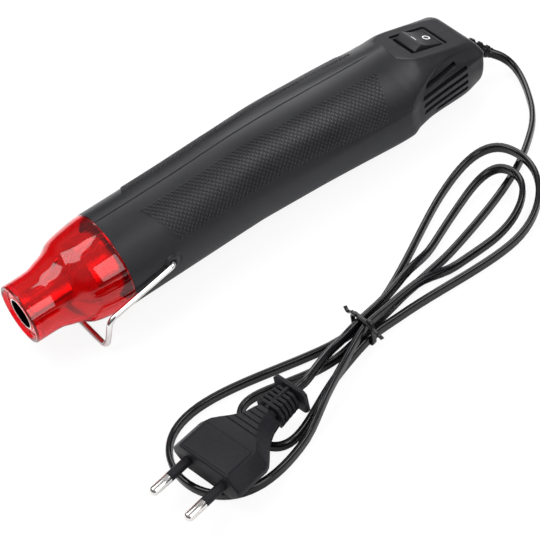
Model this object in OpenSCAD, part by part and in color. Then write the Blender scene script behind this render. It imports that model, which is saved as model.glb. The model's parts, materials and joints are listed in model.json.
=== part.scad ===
// Embossing heat tool: a hot-air barrel in two shells with a red nozzle guard,
// a wire rest, a rocker switch, a fan and heater inside, and a folded mains cord.
// Millimetres. The tool lies on z = 0 on its palm swell, with its barrel along X and its
// nozzle towards -X.

/* [Body] */
// Length from the nozzle rim to the rear face
tool_len = 232; // [220:1:290]
// Diameter of the barrel behind the nozzle guard
barrel_d = 42.5; // [42:0.5:52]
// How much deeper than the barrel the palm swell hangs
belly_swell = 1.25; // [0.75:0.05:3]
// Wall of the two shells
wall = 2.2; // [1.6:0.1:2.6]
// Slope of the switch deck, in degrees
deck_angle = 17; // [12:1:20]
// Number of air slots in each side
vent_count = 5; // [3:1:5]
// Width of one air slot
vent_w = 1.9; // [1.2:0.1:2.4]

/* [Nozzle guard] */
// Length of the guard, from its rim to the shells
guard_len = 42.5; // [40:0.5:52]
// Outer diameter of the guard's rim
rim_d = 26.4; // [24:0.2:30]
// Wall of the guard
guard_wall = 1.8; // [1.2:0.1:2.2]
// How far the guard's skirt goes over the shells
skirt_lap = 6; // [4:0.5:8]

/* [Heater] */
// Outer diameter of the air outlet
outlet_d = 14.2; // [12:0.2:18]
// Sheet thickness of the heater tube
tube_wall = 0.6; // [0.4:0.1:1]
// Outer diameter of the heater chamber
chamber_d = 29.2; // [26:0.2:30]
// Turns of the heating coil
coil_turns = 10; // [6:1:14]
// Diameter of the heating wire
coil_wire_d = 0.9; // [0.6:0.1:1.2]

/* [Fan and motor] */
// Diameter of the motor can
motor_d = 24; // [20:0.5:26]
// Length of the motor can
motor_len = 27; // [22:0.5:32]
// Diameter of the motor shaft
shaft_d = 2; // [1.5:0.1:3]
// Number of fan blades
blade_count = 7; // [5:1:9]

/* [Switch] */
// Length of the switch opening along the deck
switch_l = 20.4; // [18:0.2:23]
// Width of the switch opening
switch_w = 16.6; // [14:0.2:18]
// Tilt of the rocker either way from level, in degrees
rocker_tilt = 11; // [8:1:12]

/* [Wire rest] */
// Diameter of the wire
wire_d = 2.4; // [2:0.1:3]
// Distance from the nozzle rim to the pivots
pivot_s = 61; // [54:0.5:72]
// Distance from the nozzle rim to the foot
foot_s = 22.8; // [16:0.2:24]
// Space between the guard and the foot folded under it
foot_gap = 0.89; // [0.4:0.05:2]

/* [Cord and plug] */
// Width of the flat cord
cord_w = 4.6; // [4:0.1:5]
// Thickness of the flat cord
cord_t = 2.9; // [2.4:0.1:3.1]
// Width of the plug body
plug_w = 35.3; // [30:0.1:38]
// Height of the plug body
plug_h = 13.7; // [12:0.1:15]
// Diameter of a plug pin
pin_d = 4; // [3.6:0.1:4.8]
// Distance between the pins
pin_pitch = 18.6; // [16:0.1:19]

/* [Hidden] */

$fn = 48;
// Clearances: parts that only sit together, fits that run, and parts that move past each other
seat_gap = 0.15;
run_gap = 0.04;
move_gap = 0.4;
seam_gap = 0.1;
arm_gap = 0.45;
big = 400;

barrel_r = barrel_d / 2;
cavity_r = barrel_r - wall;
wire_r = wire_d / 2;
belly_drop = barrel_r + belly_swell;

// Where the rear face stands, and the arms of the wire rest either side of the barrel
rear_x = 116;
arm_y = barrel_r + wire_r + arm_gap;
pivot_drop = 0;

// Outline of the body along the barrel: height of the top, depth of the belly, half width,
// and how square each ring is above and below, 2 being an ellipse
top_line = [[guard_len, barrel_r], [guard_len + 37, barrel_r + 0.1], [guard_len + 68, barrel_r + 1],
    [tool_len - 98, barrel_r + 0.5], [tool_len - 72, barrel_r - 1.1], [tool_len - 44, barrel_r - 2.8],
    [tool_len - 40, barrel_r - 2.9], [tool_len - 34, barrel_r - 1.25], [tool_len - 22, barrel_r - 5.15],
    [tool_len - 10, barrel_r - 10.65], [tool_len, barrel_r - 14.65]];
belly_line = [[guard_len, barrel_r], [guard_len + 50, barrel_r], [guard_len + 58, barrel_r],
    [tool_len - 112, barrel_r + 0.55], [tool_len - 92, belly_drop - 0.3], [tool_len - 72, belly_drop - 0.1],
    [tool_len - 45, belly_drop - 0.1], [tool_len - 32, belly_drop - 0.9],
    [tool_len - 12, belly_drop - 1.3], [tool_len, belly_drop - 2.9]];
side_line = [[guard_len, barrel_r], [guard_len + 60, barrel_r], [guard_len + 68, barrel_r],
    [tool_len - 102, barrel_r + 0.85], [tool_len - 82, barrel_r + 1.55], [tool_len - 59, barrel_r + 2.35],
    [tool_len - 45, barrel_r + 2.75], [tool_len - 40, barrel_r + 2], [tool_len - 35, barrel_r + 0.4],
    [tool_len - 30, barrel_r - 0.4], [tool_len - 12, barrel_r - 1.35], [tool_len, barrel_r - 3.2]];
square_line = [[guard_len, 2], [guard_len + 60, 2], [guard_len + 68, 2], [tool_len - 92, 2.2],
    [tool_len - 72, 2.55], [tool_len - 45, 3.2], [tool_len - 32, 2.9], [tool_len, 3.3]];
crown_line = [[guard_len, 2], [tool_len - 110, 2], [tool_len - 102, 2], [tool_len - 72, 1.77],
    [tool_len - 46, 1.5], [tool_len - 40.5, 1.6], [tool_len - 35, 1.42], [tool_len, 1.4]];
// Where the deck is let into the body, and how much sooner inside, so that the wall stays whole
deck_front = tool_len - 40.4;
deck_lead = 1.5;
rear_round = 4;

function span(table, x, i = 0) = i >= len(table) - 2 || x < table[i + 1][0] ? i : span(table, x, i + 1);
function rise(table, i) = i == 0 || i == len(table) - 1 ? 0
    : (table[i + 1][1] - table[i - 1][1]) / (table[i + 1][0] - table[i - 1][0]);
// Smooth curve through a table of stations
function curve(table, x) = let(
    i = span(table, x),
    h = table[i + 1][0] - table[i][0],
    u = min(1, max(0, (x - table[i][0]) / h)),
    a = table[i][1],
    b = table[i + 1][1])
    a * (2 * u * u * u - 3 * u * u + 1) + b * (3 * u * u - 2 * u * u * u)
    + h * (rise(table, i) * (u * u * u - 2 * u * u + u) + rise(table, i + 1) * (u * u * u - u * u));
function smooth(x) = let(u = min(1, max(0, x))) u * u * (3 - 2 * u);

// One ring of the body's skin, drawn in by inset, with the rear edge rounded
function edge_in(s) = let(d = s - (tool_len - rear_round
    )) d <= 0 ? 0 : rear_round - sqrt(max(0, rear_round * rear_round - d * d));
half_sides = 18;
// Half of one ring, from the top round +Y to the belly, cut flat by the switch deck
function half_ring(s, inset) = [for (k = [0:half_sides]) let(
    a = 90 - 180 * k / half_sides,
    trim = inset + edge_in(s),
    half = curve(side_line, s) - trim,
    up = a >= 0,
    tall = (up ? curve(top_line, s) : curve(belly_line, s)) - trim,
    e = curve(up ? crown_line : square_line, s),
    cut = s < deck_front - (inset > 0 ? deck_lead : 0) ? big : deck_z(s) - trim,
    y = half * pow(max(0, cos(a)), 2 / e),
    z = tall * sign(sin(a)) * pow(abs(sin(a)), 2 / e))
    [s, k == 0 || k == half_sides ? seam_gap / 2 : max(y, seam_gap / 2 + 0.02), min(z, cut)]];
function deck_z(s) = deck_h - tan(deck_angle) * (s - deck_s);
// One half of the body, of even wall: outer skin, inner skin, parting face, front rim and rear wall
module half_body() {
    n = half_sides + 1;
    m = len(inner_stations);
    last = len(outer_stations) - 1;
    pts = concat([for (s = outer_stations) each half_ring(s, 0)],
        [for (s = inner_stations) each half_ring(s, wall)]);
    in0 = len(outer_stations) * n;
    outer_skin = [for (i = [0:last - 1], k = [0:n - 2]) each
        [[i * n + k, (i + 1) * n + k, i * n + k + 1],
            [(i + 1) * n + k, (i + 1) * n + k + 1, i * n + k + 1]]];
    inner_skin = [for (i = [0:m - 2], k = [0:n - 2]) let(o = in0 + i * n + k) each
        [[o, o + 1, o + n], [o + n, o + 1, o + n + 1]]];
    rim = [for (k = [0:n - 2]) each [[k, k + 1, in0 + k], [in0 + k, k + 1, in0 + k + 1]]];
    top = [for (i = [0:m - 2]) each [[i * n, in0 + i * n, (i + 1) * n],
        [in0 + i * n, in0 + (i + 1) * n, (i + 1) * n]]];
    foot = [for (i = [0:m - 2]) let(a = i * n + n - 1, b = in0 + a) each [[a, a + n, b],
        [b, a + n, b + n]]];
    t = (m - 1) * n;
    it = in0 + t;
    turn = [[t, it, t + n], [it, it + n - 1, t + n], [it + n - 1, t + 2 * n - 1, t + n],
        [it + n - 1, t + n - 1, t + 2 * n - 1]];
    rear = [for (i = [m:last - 1]) each [[i * n, i * n + n - 1, (i + 1) * n],
        [i * n + n - 1, (i + 1) * n + n - 1, (i + 1) * n]]];
    floor_cap = [for (k = [0:n - 3]) [it + n - 1, it + k, it + k + 1]];
    end_cap = [for (k = [0:n - 3]) [last * n + n - 1, last * n + k + 1, last * n + k]];
    faces = concat(outer_skin, inner_skin, rim, top, foot, turn, rear, floor_cap, end_cap);
    polyhedron(pts, [for (f = faces) [f[0], f[2], f[1]]], convexity = 8);
}
// A closed solid through rings of equal length
module loft(rings) {
    n = len(rings[0]);
    last = len(rings) - 1;
    walls = [for (i = [0:last - 1], k = [0:n - 1]) let(j = (k + 1) % n) each
        [[i * n + k, (i + 1) * n + k, i * n + j], [(i + 1) * n + k, (i + 1) * n + j, i * n + j]]];
    caps = [[for (k = [0:n - 1]) k], [for (k = [0:n - 1]) last * n + n - 1 - k]];
    polyhedron([for (r = rings) each r], concat(walls, caps), convexity = 6);
}

// Tube swept along points: each ring is flat, upright and square to the run
function unit(v) = v / norm(v);
function heading(path, i) = let(n = len(path) - 1)
    unit(i == 0 ? path[1] - path[0] : i == n ? path[n] - path[n - 1]
        : unit(path[i] - path[i - 1]) + unit(path[i + 1] - path[i]));
function swept_ring(p, dir, half_w, half_t, sides) = let(
    side = unit(cross([0, 0, 1], dir)),
    up = cross(dir, side))
    [for (k = [0:sides - 1]) let(a = 360 * (k + 0.5) / sides) p + side * half_t * cos(a) + up * half_w
        * sin(a)];
// The end rings can be turned to meet another tube face to face
module sweep(path, half_w, half_t, sides, start = undef, end = undef) {
    n = len(path) - 1;
    dirs = [for (i = [0:n]) i == 0 && start != undef ? start : i == n && end != undef ? end
        : heading(path, i)];
    loft([for (i = [0:n]) swept_ring(path[i], dirs[i], half_w, half_t, sides)]);
}
// Points between hand-set points, on one smooth curve
function between(pts, i, u) = let(
    n = len(pts) - 1,
    a = pts[i],
    b = pts[i + 1],
    ta = i == 0 ? b - a : (b - pts[i - 1]) / 2,
    tb = i == n - 1 ? b - a : (pts[i + 2] - a) / 2)
    a * (2 * u * u * u - 3 * u * u + 1) + b * (3 * u * u - 2 * u * u * u)
    + ta * (u * u * u - 2 * u * u + u) + tb * (u * u * u - u * u);
function fine(pts, steps) = concat([for (i = [0:len(pts) - 2], j = [0:steps - 1]) between(pts, i,
    j / steps)], [pts[len(pts) - 1]]);

// Barrel frame: X from the nozzle rim to the rear, axis through the middle of the barrel
module in_barrel() {
    translate([rear_x - tool_len, 0, belly_drop]) children();
}
// Cylinder along X from one station to another
module spun(s0, s1, r) {
    translate([s0, 0, 0]) rotate([0, 90, 0]) cylinder(h = s1 - s0, r = r);
}
module tube(s0, s1, r_out, r_in) {
    difference() {
        spun(s0, s1, r_out);
        spun(s0 - 1, s1 + 1, r_in);
    }
}
// Profile given as [station, radius] turned round the barrel's axis
module turned(profile) {
    rotate([0, 90, 0]) rotate_extrude() polygon([for (p = profile) [p[1], p[0]]]);
}
// Moves a radial detail to an angle round the barrel's axis, 0 towards +Y
module at_angle(a) {
    rotate([a, 0, 0]) children();
}

// Stations of the inner parts, each from the one that carries it
chamber_s = guard_len - 12;
plate_s = guard_len + 46;
flange_s = plate_s + 2;
duct_s = flange_s + 6;
duct_len = 16;
motor_s = duct_s + duct_len + 0.6;
cap_s = motor_s + motor_len;
cap_len = 3;
board_s = cap_s + cap_len + 6;
board_t = 1.4;
deck_s = tool_len - 22;
switch_rear = 10.2;
deck_h = barrel_r - 10.65;
housing_depth = 12;
cord_s = tool_len - 11;
cord_end_s = cord_s - 4;
cord_drop = 7.5;
relief_s = tool_len - wall - 2.7;
motor_r = motor_d / 2;
shaft_r = shaft_d / 2;
chamber_r = chamber_d / 2;
sleeve_r = chamber_r - tube_wall - seat_gap;
sleeve_t = 0.6;
former_r = sleeve_r - sleeve_t - 2.6;
coil_r = former_r + coil_wire_d;
duct_r = cavity_r - seat_gap;
duct_wall = 1.2;
fan_r = duct_r - duct_wall - move_gap - 0.2;
cup_wall = 1.4;
lead_angles = [30, 150];
lead_d = 1;
lead_notch_w = lead_d + 2 * seat_gap;

// Switch deck frame: X down the slope towards the rear, Z square to the deck
module on_deck() {
    translate([deck_s, 0, deck_h]) rotate([0, deck_angle, 0]) children();
}
// The switch in that frame: its rear end keeps its distance from the cord clamp
module on_switch() {
    on_deck() translate([switch_rear - switch_l / 2, 0, 0]) children();
}
front_end = deck_front - deck_lead - 0.05;
mid_stations = concat([for (i = [0:14]) guard_len + i * (front_end - guard_len) / 14],
    [front_end + 0.1, deck_front - 0.05, deck_front + 0.05],
    [for (i = [1:4]) deck_front + 0.05 + i * (tool_len - rear_round - deck_front - 0.05) / 4]);
inner_stations = concat([for (s = mid_stations) s], [tool_len - wall]);
outer_stations = concat(inner_stations, [for (f = [0.7, 0.9, 1]) tool_len - rear_round + rear_round * f]);

// Outer line of the guard: radius along its length
function flare(f) = rim_d / 2 + f * (barrel_r - rim_d / 2);
guard_line = [for (p = [[0, 0], [0.28, 0.02], [0.38, 0.17], [0.48, 0.34], [0.59, 0.68], [0.77, 0.88],
    [1, 1]]) [p[0] * guard_len, flare(p[1])]];
lap_r = curve(guard_line, guard_len - skirt_lap) - guard_wall;
foot_drop = curve(guard_line, foot_s) + wire_r + foot_gap;

screw_r = 1.3;
boss_r = 3;
screw_spots = [[tool_len - 74, -14.5], [tool_len - 74, 13], [tool_len - 42, -15]];
clamp_spots = [[cord_s, -cord_drop - 5.2], [cord_s, -cord_drop + 5.2]];
clamp_boss_r = 2.4;
pivot_boss_r = 3.6;
dimple_r = 4;
neck_r = 2.9;
dimple_depth = 1.1;
vent_pitch = 3.85;
vent_s0 = tool_len - 39.5;
vent_s1 = tool_len - 12.5;
vent_top = 4.5;

module vent_cuts() {
    for (i = [0:vent_count - 1]) {
        front = vent_s0 + (i == 0 ? 3.5 : i == vent_count - 1 ? 7.5 : 0);
        rear = vent_s1 - (i == 0 ? 4.5 : 0);
        translate([front, 6, vent_top - i * vent_pitch - vent_w / 2]) cube([rear - front, 24, vent_w]);
    }
}
module half_tube(s0, s1, r_out, r_in) {
    difference() {
        tube(s0, s1, r_out, r_in);
        translate([s0 - 1, -big + seam_gap / 2, -big / 2]) cube([s1 - s0 + 2, big, big]);
    }
}
// Cylinder from one distance to another across the body, at a station and height
module across(p, y0, y1, r) {
    translate([p[0], y0, p[1]]) rotate([-90, 0, 0]) cylinder(h = y1 - y0, r = r);
}
// One half of the body, on the +Y side: the main one takes the screw heads and the cord clamp
module shell(main) {
    y0 = seam_gap / 2;
    pivot = [pivot_s, -pivot_drop];
    difference() {
        union() {
            half_body();
            half_tube(guard_len - skirt_lap, guard_len + 1, lap_r - seat_gap, cavity_r - 2.1);
            half_tube(guard_len + 0.6, guard_len + 5, cavity_r + 0.6, cavity_r - 2.1);
            for (p = screw_spots) across(p, y0, boss_reach(p[0], p[1]), boss_r);
            across(pivot, cavity_r - 2.4, barrel_r - dimple_depth - 0.4, pivot_boss_r);
            if (main) for (p = clamp_spots) across(p, 1.7, boss_reach(p[0], p[1]), clamp_boss_r);
        }
        vent_cuts();
        across(pivot, 10, 30, wire_r + run_gap);
        across(pivot, barrel_r - dimple_depth, 40, dimple_r);
        on_switch() translate([-switch_l / 2, -switch_w / 2, -wall - 6]) cube([switch_l, switch_w, 30]);
        for (p = screw_spots) across(p, -1, main ? 30 : 9, screw_r + 0.1);
        if (main) {
            for (p = screw_spots) across(p, boss_reach(p[0], p[1]) - 4, 40, screw_head_r + 0.3);
            for (p = clamp_spots) across(p, 0, 8, clamp_screw_r + 0.1);
        }
        translate([tool_len - wall - 3, 0, -cord_drop]) rotate([0, 90, 0])
            cylinder(h = 20, r = neck_r + 0.2);
    }
}
// How far a boss at a station and height runs out to the middle of the shell's wall
function boss_reach(s, z) = let(
    half = curve(side_line, s),
    tall = z > 0 ? curve(top_line, s) : curve(belly_line, s),
    e = curve(z > 0 ? crown_line : square_line, s))
    half * pow(1 - pow(abs(z) / tall, e), 1 / e) - wall / 2;
screw_head_r = 2.4;
clamp_screw_r = screw_r - 0.3;

module left_shell() {
    color([0.12, 0.12, 0.13]) in_barrel() shell(true);
}
module right_shell() {
    color([0.13, 0.13, 0.14]) in_barrel() mirror([0, 1, 0]) shell(false);
}
module shell_screws() {
    color("dimgray") in_barrel() for (p = screw_spots) translate([p[0], 0, p[1]]) rotate([-90, 0, 0]) {
        seat = boss_reach(p[0], p[1]) - 4;
        translate([0, 0, seat + 0.05]) cylinder(h = 1.6, r = screw_head_r);
        translate([0, 0, -8]) cylinder(h = seat + 8.1, r = screw_r);
    }
}

// Red guard: a turned skirt with a rim, a closed face round the outlet and a stepped inner ring
module nozzle_guard() {
    rim_r = rim_d / 2;
    face_s = 1.3;
    face_t = 1.6;
    lap_s = guard_len - skirt_lap;
    marks = [0.05, 0.28, 0.34, 0.4, 0.46, 0.51, 0.55, 0.59, 0.63, 0.68, 0.77, 0.86];
    outer = concat([[0, rim_r - 0.6], [0.6, rim_r]],
        [for (f = marks) [f * guard_len, curve(guard_line, f * guard_len)]],
        [[guard_len - 0.1, barrel_r - 0.05], [guard_len - 0.1, lap_r], [lap_s, lap_r]]);
    inner = [for (i = [len(marks) - 1:-1:1]) if (marks[i] * guard_len < lap_s - 0.5)
        [marks[i] * guard_len + 0.4, curve(guard_line, marks[i] * guard_len) - guard_wall]];
    face = [[face_s + face_t, rim_r - guard_wall], [face_s + face_t, outlet_d / 2 + seat_gap],
        [face_s, outlet_d / 2 + seat_gap],
        [face_s, rim_r - 1.9], [0, rim_r - 1.4]];
    color([0.75, 0.03, 0.06, 0.85]) in_barrel() turned(concat(outer, inner, face));
}

module heater_tube() {
    r0 = outlet_d / 2;
    cone_s = chamber_s - 8;
    t = tube_wall;
    color("silver") in_barrel() turned([[0.9, r0 - t], [0.9, r0], [cone_s, r0], [chamber_s, chamber_r],
        [flange_s - 1, chamber_r],
        [flange_s - 1, cavity_r - seat_gap], [flange_s, cavity_r - seat_gap],
            [flange_s, chamber_r - t], [chamber_s + t / 2, chamber_r - t],
        [cone_s + t / 2, r0 - t]]);
}
module mica_sleeve() {
    color([0.8, 0.76, 0.66]) in_barrel() tube(chamber_s + 2, plate_s, sleeve_r, sleeve_r - sleeve_t);
}
module mica_former() {
    ear = sleeve_r - sleeve_t - seat_gap;
    t = 0.8;
    color([0.85, 0.8, 0.68]) in_barrel() for (a = [0, 90]) rotate([a, 0, 0]) {
        translate([chamber_s + 3, -ear, -t / 2]) cube([3, 2 * ear, t]);
        translate([chamber_s + 5, -former_r, -t / 2]) cube([plate_s - chamber_s - 8, 2 * former_r, t]);
        translate([plate_s - 4, -ear, -t / 2]) cube([3.5, 2 * ear, t]);
    }
}
coil_steps = 14;
coil_path = [for (i = [0:coil_turns * coil_steps]) let(a = 360 * i / coil_steps)
    [chamber_s + 8 + (plate_s - chamber_s - 16) * i / (coil_turns * coil_steps), coil_r * cos(a),
        coil_r * sin(a)]];
function coil_ring(i) = let(
    a = 360 * i / coil_steps,
    out = [0, cos(a), sin(a)],
    w = coil_wire_d / 2)
    [for (k = [0:3]) let(b = 90 * k + 45) coil_path[i] + out * w * cos(b) + [w * sin(b), 0, 0]];
module heating_coil() {
    color([0.55, 0.5, 0.45]) in_barrel() loft([for (i = [0:len(coil_path) - 1]) coil_ring(i)]);
}
module heater_plate() {
    color([0.85, 0.8, 0.68]) in_barrel() difference() {
        spun(plate_s + 0.1, plate_s + 1, sleeve_r - 0.1);
        for (a = [45:90:315]) at_angle(a) translate([0, sleeve_r * 0.55, 0])
            spun(plate_s - 1, plate_s + 2, sleeve_r * 0.26);
    }
}
module thermal_cutout() {
    color("ivory") in_barrel() translate([plate_s + 1.1, -3.4, -2.6]) cube([4, 6.8, 5.2]);
}
lead_r = duct_r - duct_wall / 2;
module heater_leads() {
    in_r = sleeve_r * 0.82;
    color("ivory") in_barrel() for (a = lead_angles) at_angle(a) sweep(fine([[plate_s + 1.2, in_r, 0],
        [plate_s + 3, in_r, 0],
        [duct_s - 2.5, lead_r - 1, 0], [duct_s - 0.5, lead_r, 0], [duct_s + duct_len, lead_r, 0],
            [duct_s + duct_len + 8, lead_r - 1, 0],
        [cap_s - 4, lead_r - 2, 0], [board_s - 3, motor_r, 0], [board_s - 0.8, motor_r - 1.5, 0],
            [board_s - 0.15, motor_r - 1.5, 0]], 3),
        lead_d / 2, lead_d / 2, 6);
}

module fan_duct() {
    cup_r = motor_r + seat_gap;
    color([0.25, 0.25, 0.27]) in_barrel() difference() {
        union() {
            tube(duct_s, duct_s + duct_len, duct_r, duct_r - duct_wall);
            tube(duct_s + duct_len - 2, duct_s + duct_len + 10, cup_r + cup_wall, cup_r);
            for (a = [90, 210, 330]) at_angle(a) translate([duct_s + duct_len - 2, cup_r + 0.5, -1.2])
                cube([2, duct_r - duct_wall / 2 - cup_r - 0.5, 2.4]);
        }
        for (a = lead_angles) at_angle(a) translate([duct_s - 1, lead_r - 1, -lead_notch_w / 2])
            cube([duct_len + 2, 3, lead_notch_w]);
    }
}
hub_r = 6;
module fan_impeller() {
    color([0.85, 0.85, 0.83]) in_barrel() difference() {
        union() {
            spun(duct_s + 3, duct_s + 12, hub_r);
            for (i = [0:blade_count - 1]) at_angle(360 * i / blade_count)
                translate([duct_s + 7.5, hub_r - 1, 0])
                rotate([0, 32, 0]) translate([-5, 0, -0.6]) cube([10, fan_r - hub_r, 1.2]);
        }
        spun(duct_s, duct_s + duct_len, shaft_r + 0.01);
    }
}
module motor_shaft() {
    color("silver") in_barrel() spun(duct_s + 2, cap_s + cap_len + 1.5, shaft_r);
}
core_s0 = motor_s + 5;
core_s1 = cap_s - 7;
core_r = motor_r - 3.4;
module rotor_core() {
    color("gray") in_barrel() difference() {
        spun(core_s0, core_s1, core_r);
        spun(core_s0 - 1, core_s1 + 1, shaft_r + 0.01);
        for (a = [90, 210, 330]) at_angle(a) translate([core_s0 - 1, 3, -1.3])
            cube([core_s1 - core_s0 + 2, core_r, 2.6]);
    }
}
module commutator() {
    color([0.7, 0.45, 0.2]) in_barrel() tube(core_s1 + 0.2, core_s1 + 3.6, 2.6, shaft_r + 0.01);
}
module motor_can() {
    color("silver") in_barrel() difference() {
        spun(motor_s, cap_s, motor_r);
        spun(motor_s + 0.8, cap_s + 1, motor_r - 0.8);
        spun(motor_s - 1, motor_s + 2, 3 + seat_gap);
    }
}
module motor_magnets() {
    r1 = motor_r - 0.8 - seat_gap;
    r0 = core_r + move_gap;
    color([0.3, 0.3, 0.32]) in_barrel() for (a = [25, 205]) translate([core_s0 - 1, 0, 0])
        rotate([a, 0, 0]) rotate([90, 0, 90])
        rotate_extrude(angle = 130) translate([r0, 0]) square([r1 - r0, core_s1 - core_s0 + 2]);
}
module motor_bushes() {
    color([0.75, 0.6, 0.35]) in_barrel() {
        tube(motor_s - 0.4, motor_s + 3, 3, shaft_r + run_gap);
        tube(cap_s - 0.5, cap_s + cap_len - 0.5, 3, shaft_r + run_gap);
    }
}
module motor_end_cap() {
    color([0.92, 0.9, 0.84]) in_barrel() difference() {
        union() {
            spun(cap_s + 0.05, cap_s + cap_len, motor_r - 0.1);
            spun(cap_s - 2, cap_s + 1, motor_r - 0.8 - seat_gap);
        }
        spun(cap_s - 3, cap_s + cap_len + 1, 3 + seat_gap);
        for (side = [-1, 1]) translate([cap_s - 3, -1.6, side * (brush_r + 0.9) - 1.05])
            cube([cap_len + 4, 3.2, 2.1]);
    }
}
brush_r = 2.6 + move_gap;
module motor_brushes() {
    color([0.2, 0.2, 0.2]) in_barrel() for (side = [-1, 1])
        translate([core_s1 + 0.6, -1.5, side * (brush_r + 0.9) - 0.9])
        cube([cap_s + 1 - core_s1, 3, 1.8]);
}
module motor_terminals() {
    color([0.85, 0.65, 0.3]) in_barrel() for (side = [-1, 1])
        translate([cap_s + cap_len + 0.05, -1.5, side * 8 - 0.25])
        cube([board_s - cap_s - cap_len - 0.15, 3, 0.5]);
}
module circuit_board() {
    color([0.15, 0.4, 0.2]) in_barrel() spun(board_s, board_s + board_t, motor_r - 0.5);
}
module rectifier_diodes() {
    color([0.15, 0.15, 0.16]) in_barrel() for (i = [0:3])
        translate([board_s + board_t + 1.4, -2.6, -7 + i * 3.4]) rotate([-90, 0, 0])
        cylinder(h = 5.2, r = 1.3);
}
module filter_capacitor() {
    color([0.7, 0.25, 0.1]) in_barrel() translate([board_s + board_t + 0.1, -4, 6.3]) cube([4.5, 8, 2.6]);
}

// Rocker switch in the sloping deck
wall_y = 1.1;
well_l = switch_l - 2.4;
well_w = switch_w - 0.6 - 2 * wall_y;
pin_drop = 3.5;
module switch_housing() {
    l = switch_l - 0.6;
    w = switch_w - 0.6;
    color([0.06, 0.06, 0.065]) in_barrel() on_switch() difference() {
        translate([-l / 2, -w / 2, -housing_depth]) cube([l, w, housing_depth - 0.9]);
        translate([-well_l / 2, -well_w / 2, -9]) cube([well_l, well_w, 20]);
        translate([0, -big / 2, -pin_drop]) rotate([-90, 0, 0]) cylinder(h = big, r = 1.02);
    }
}
module switch_rocker() {
    half_l = 7.6 * switch_l / 20.4;
    w = well_w - 2 * move_gap;
    color([0.09, 0.09, 0.095]) in_barrel() on_switch() translate([0, 0, -pin_drop])
        rotate([0, rocker_tilt, 0]) difference() {
        rotate([90, 0, 0]) linear_extrude(w, center = true) polygon([[-half_l, 4.5],
            [-half_l + 0.3, 0.5], [-half_l + 3, -2],
            [-1.6, -3.2], [1.6, -3.2], [half_l - 3, -2], [half_l - 0.3, 0.5], [half_l, 4.5], [0, 3.8]]);
        translate([0, -big / 2, 0]) rotate([-90, 0, 0]) cylinder(h = big, r = 1 + run_gap);
    }
}
module switch_pin() {
    pin_l = switch_w - 0.8;
    color("silver") in_barrel() on_switch() translate([0, -pin_l / 2, -pin_drop]) rotate([-90, 0, 0])
        cylinder(h = pin_l, r = 1);
}
module switch_terminals() {
    color([0.85, 0.65, 0.3]) in_barrel() on_switch() for (x = [-6.5, -2])
        translate([x, -2.4, -housing_depth - 4.6]) cube([0.8, 4.8, 4.5]);
}
module power_leads() {
    start = [cord_end_s - 0.15, 0, -cord_drop];
    z0 = -cord_drop;
    d = 1.8;
    color("brown") in_barrel() for (side = [-1, 1]) sweep(fine([start + [0, side * 1.2, 0],
        start + [-4, side * 1.8, 0], start + [-16, side * 6, -2],
        [board_s + 30, side * 8, z0 - 1], [board_s + 14, side * 7, z0 + 2],
            [board_s + 5, side * 6, z0 + 4], [board_s + board_t + 0.15, side * 6, z0 + 4]], 3),
        d / 2, d / 2, 6);
}
module cord_clamp() {
    color([0.2, 0.2, 0.21]) in_barrel() difference() {
        translate([cord_s - 2.5, -4.6, -cord_drop - 8]) cube([5, 2.9, 16]);
        for (p = clamp_spots) translate([p[0], -10, p[1]]) rotate([-90, 0, 0])
            cylinder(h = 10, r = clamp_screw_r + 0.15);
    }
}
module clamp_screws() {
    color("dimgray") in_barrel() for (p = clamp_spots) translate([p[0], 0, p[1]]) rotate([-90, 0, 0]) {
        translate([0, 0, -6.1]) cylinder(h = 1.4, r = 2);
        translate([0, 0, -4.8]) cylinder(h = 11, r = clamp_screw_r);
    }
}
module cord_inner() {
    color([0.07, 0.07, 0.07]) in_barrel() sweep([[relief_s, 0, -cord_drop], [cord_s, 0, -cord_drop],
        [cord_end_s, 0, -cord_drop]],
        cord_w / 2, cord_t / 2, 8);
}

// Wire rest: one wire, bent round its corners, with true round ends in the shells
function turn_angle(path, i) = acos(unit(path[i] - path[i - 1]) * unit(path[i + 1] - path[i]));
function bend(path, r, i) = let(
    din = unit(path[i] - path[i - 1]),
    dout = unit(path[i + 1] - path[i]),
    side = unit(cross(cross(din, dout), din)),
    ang = turn_angle(path, i),
    a = path[i] - din * r[i] * tan(ang / 2),
    steps = ceil(ang / 15))
    [for (k = [0:steps]) let(b = ang * k / steps) a + side * r[i] * (1 - cos(b)) + din * r[i] * sin(b)];
function round_ring(p, dir, first, r, sides) = let(
    side = unit(first - dir * (first * dir)),
    up = cross(dir, side))
    [for (k = [0:sides - 1]) let(a = 360 * k / sides) p + (side * cos(a) + up * sin(a)) * r];
module wire_stand() {
    inside = cavity_r - 2;
    turn_r = 2.2;
    stub_end = arm_y - turn_r;
    heel = [foot_s + 4.5, arm_y, -foot_drop * 0.36];
    path = [[pivot_s, -stub_end + 2, -pivot_drop], [pivot_s, -arm_y, -pivot_drop],
        [heel[0], -heel[1], heel[2]], [foot_s, -arm_y, -foot_drop],
        [foot_s, arm_y, -foot_drop], heel, [pivot_s, arm_y, -pivot_drop],
            [pivot_s, stub_end - 2, -pivot_drop]];
    radii = [0, turn_r, 5, 4, 4, 5, turn_r, 0];
    line = concat([path[0]], [for (i = [1:len(path) - 2]) each bend(path, radii, i)],
        [path[len(path) - 1]]);
    up = [0, 0.34, 0.94];
    color([0.85, 0.85, 0.86]) in_barrel() {
        loft([for (i = [0:len(line) - 1]) round_ring(line[i], heading(line, i),
            i == 0 || i == len(line) - 1 ? [0, 0, 1] : up, wire_r - 0.02, 14)]);
        across([pivot_s, -pivot_drop], inside, stub_end, wire_r);
        across([pivot_s, -pivot_drop], -stub_end, -inside, wire_r);
    }
}

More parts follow.
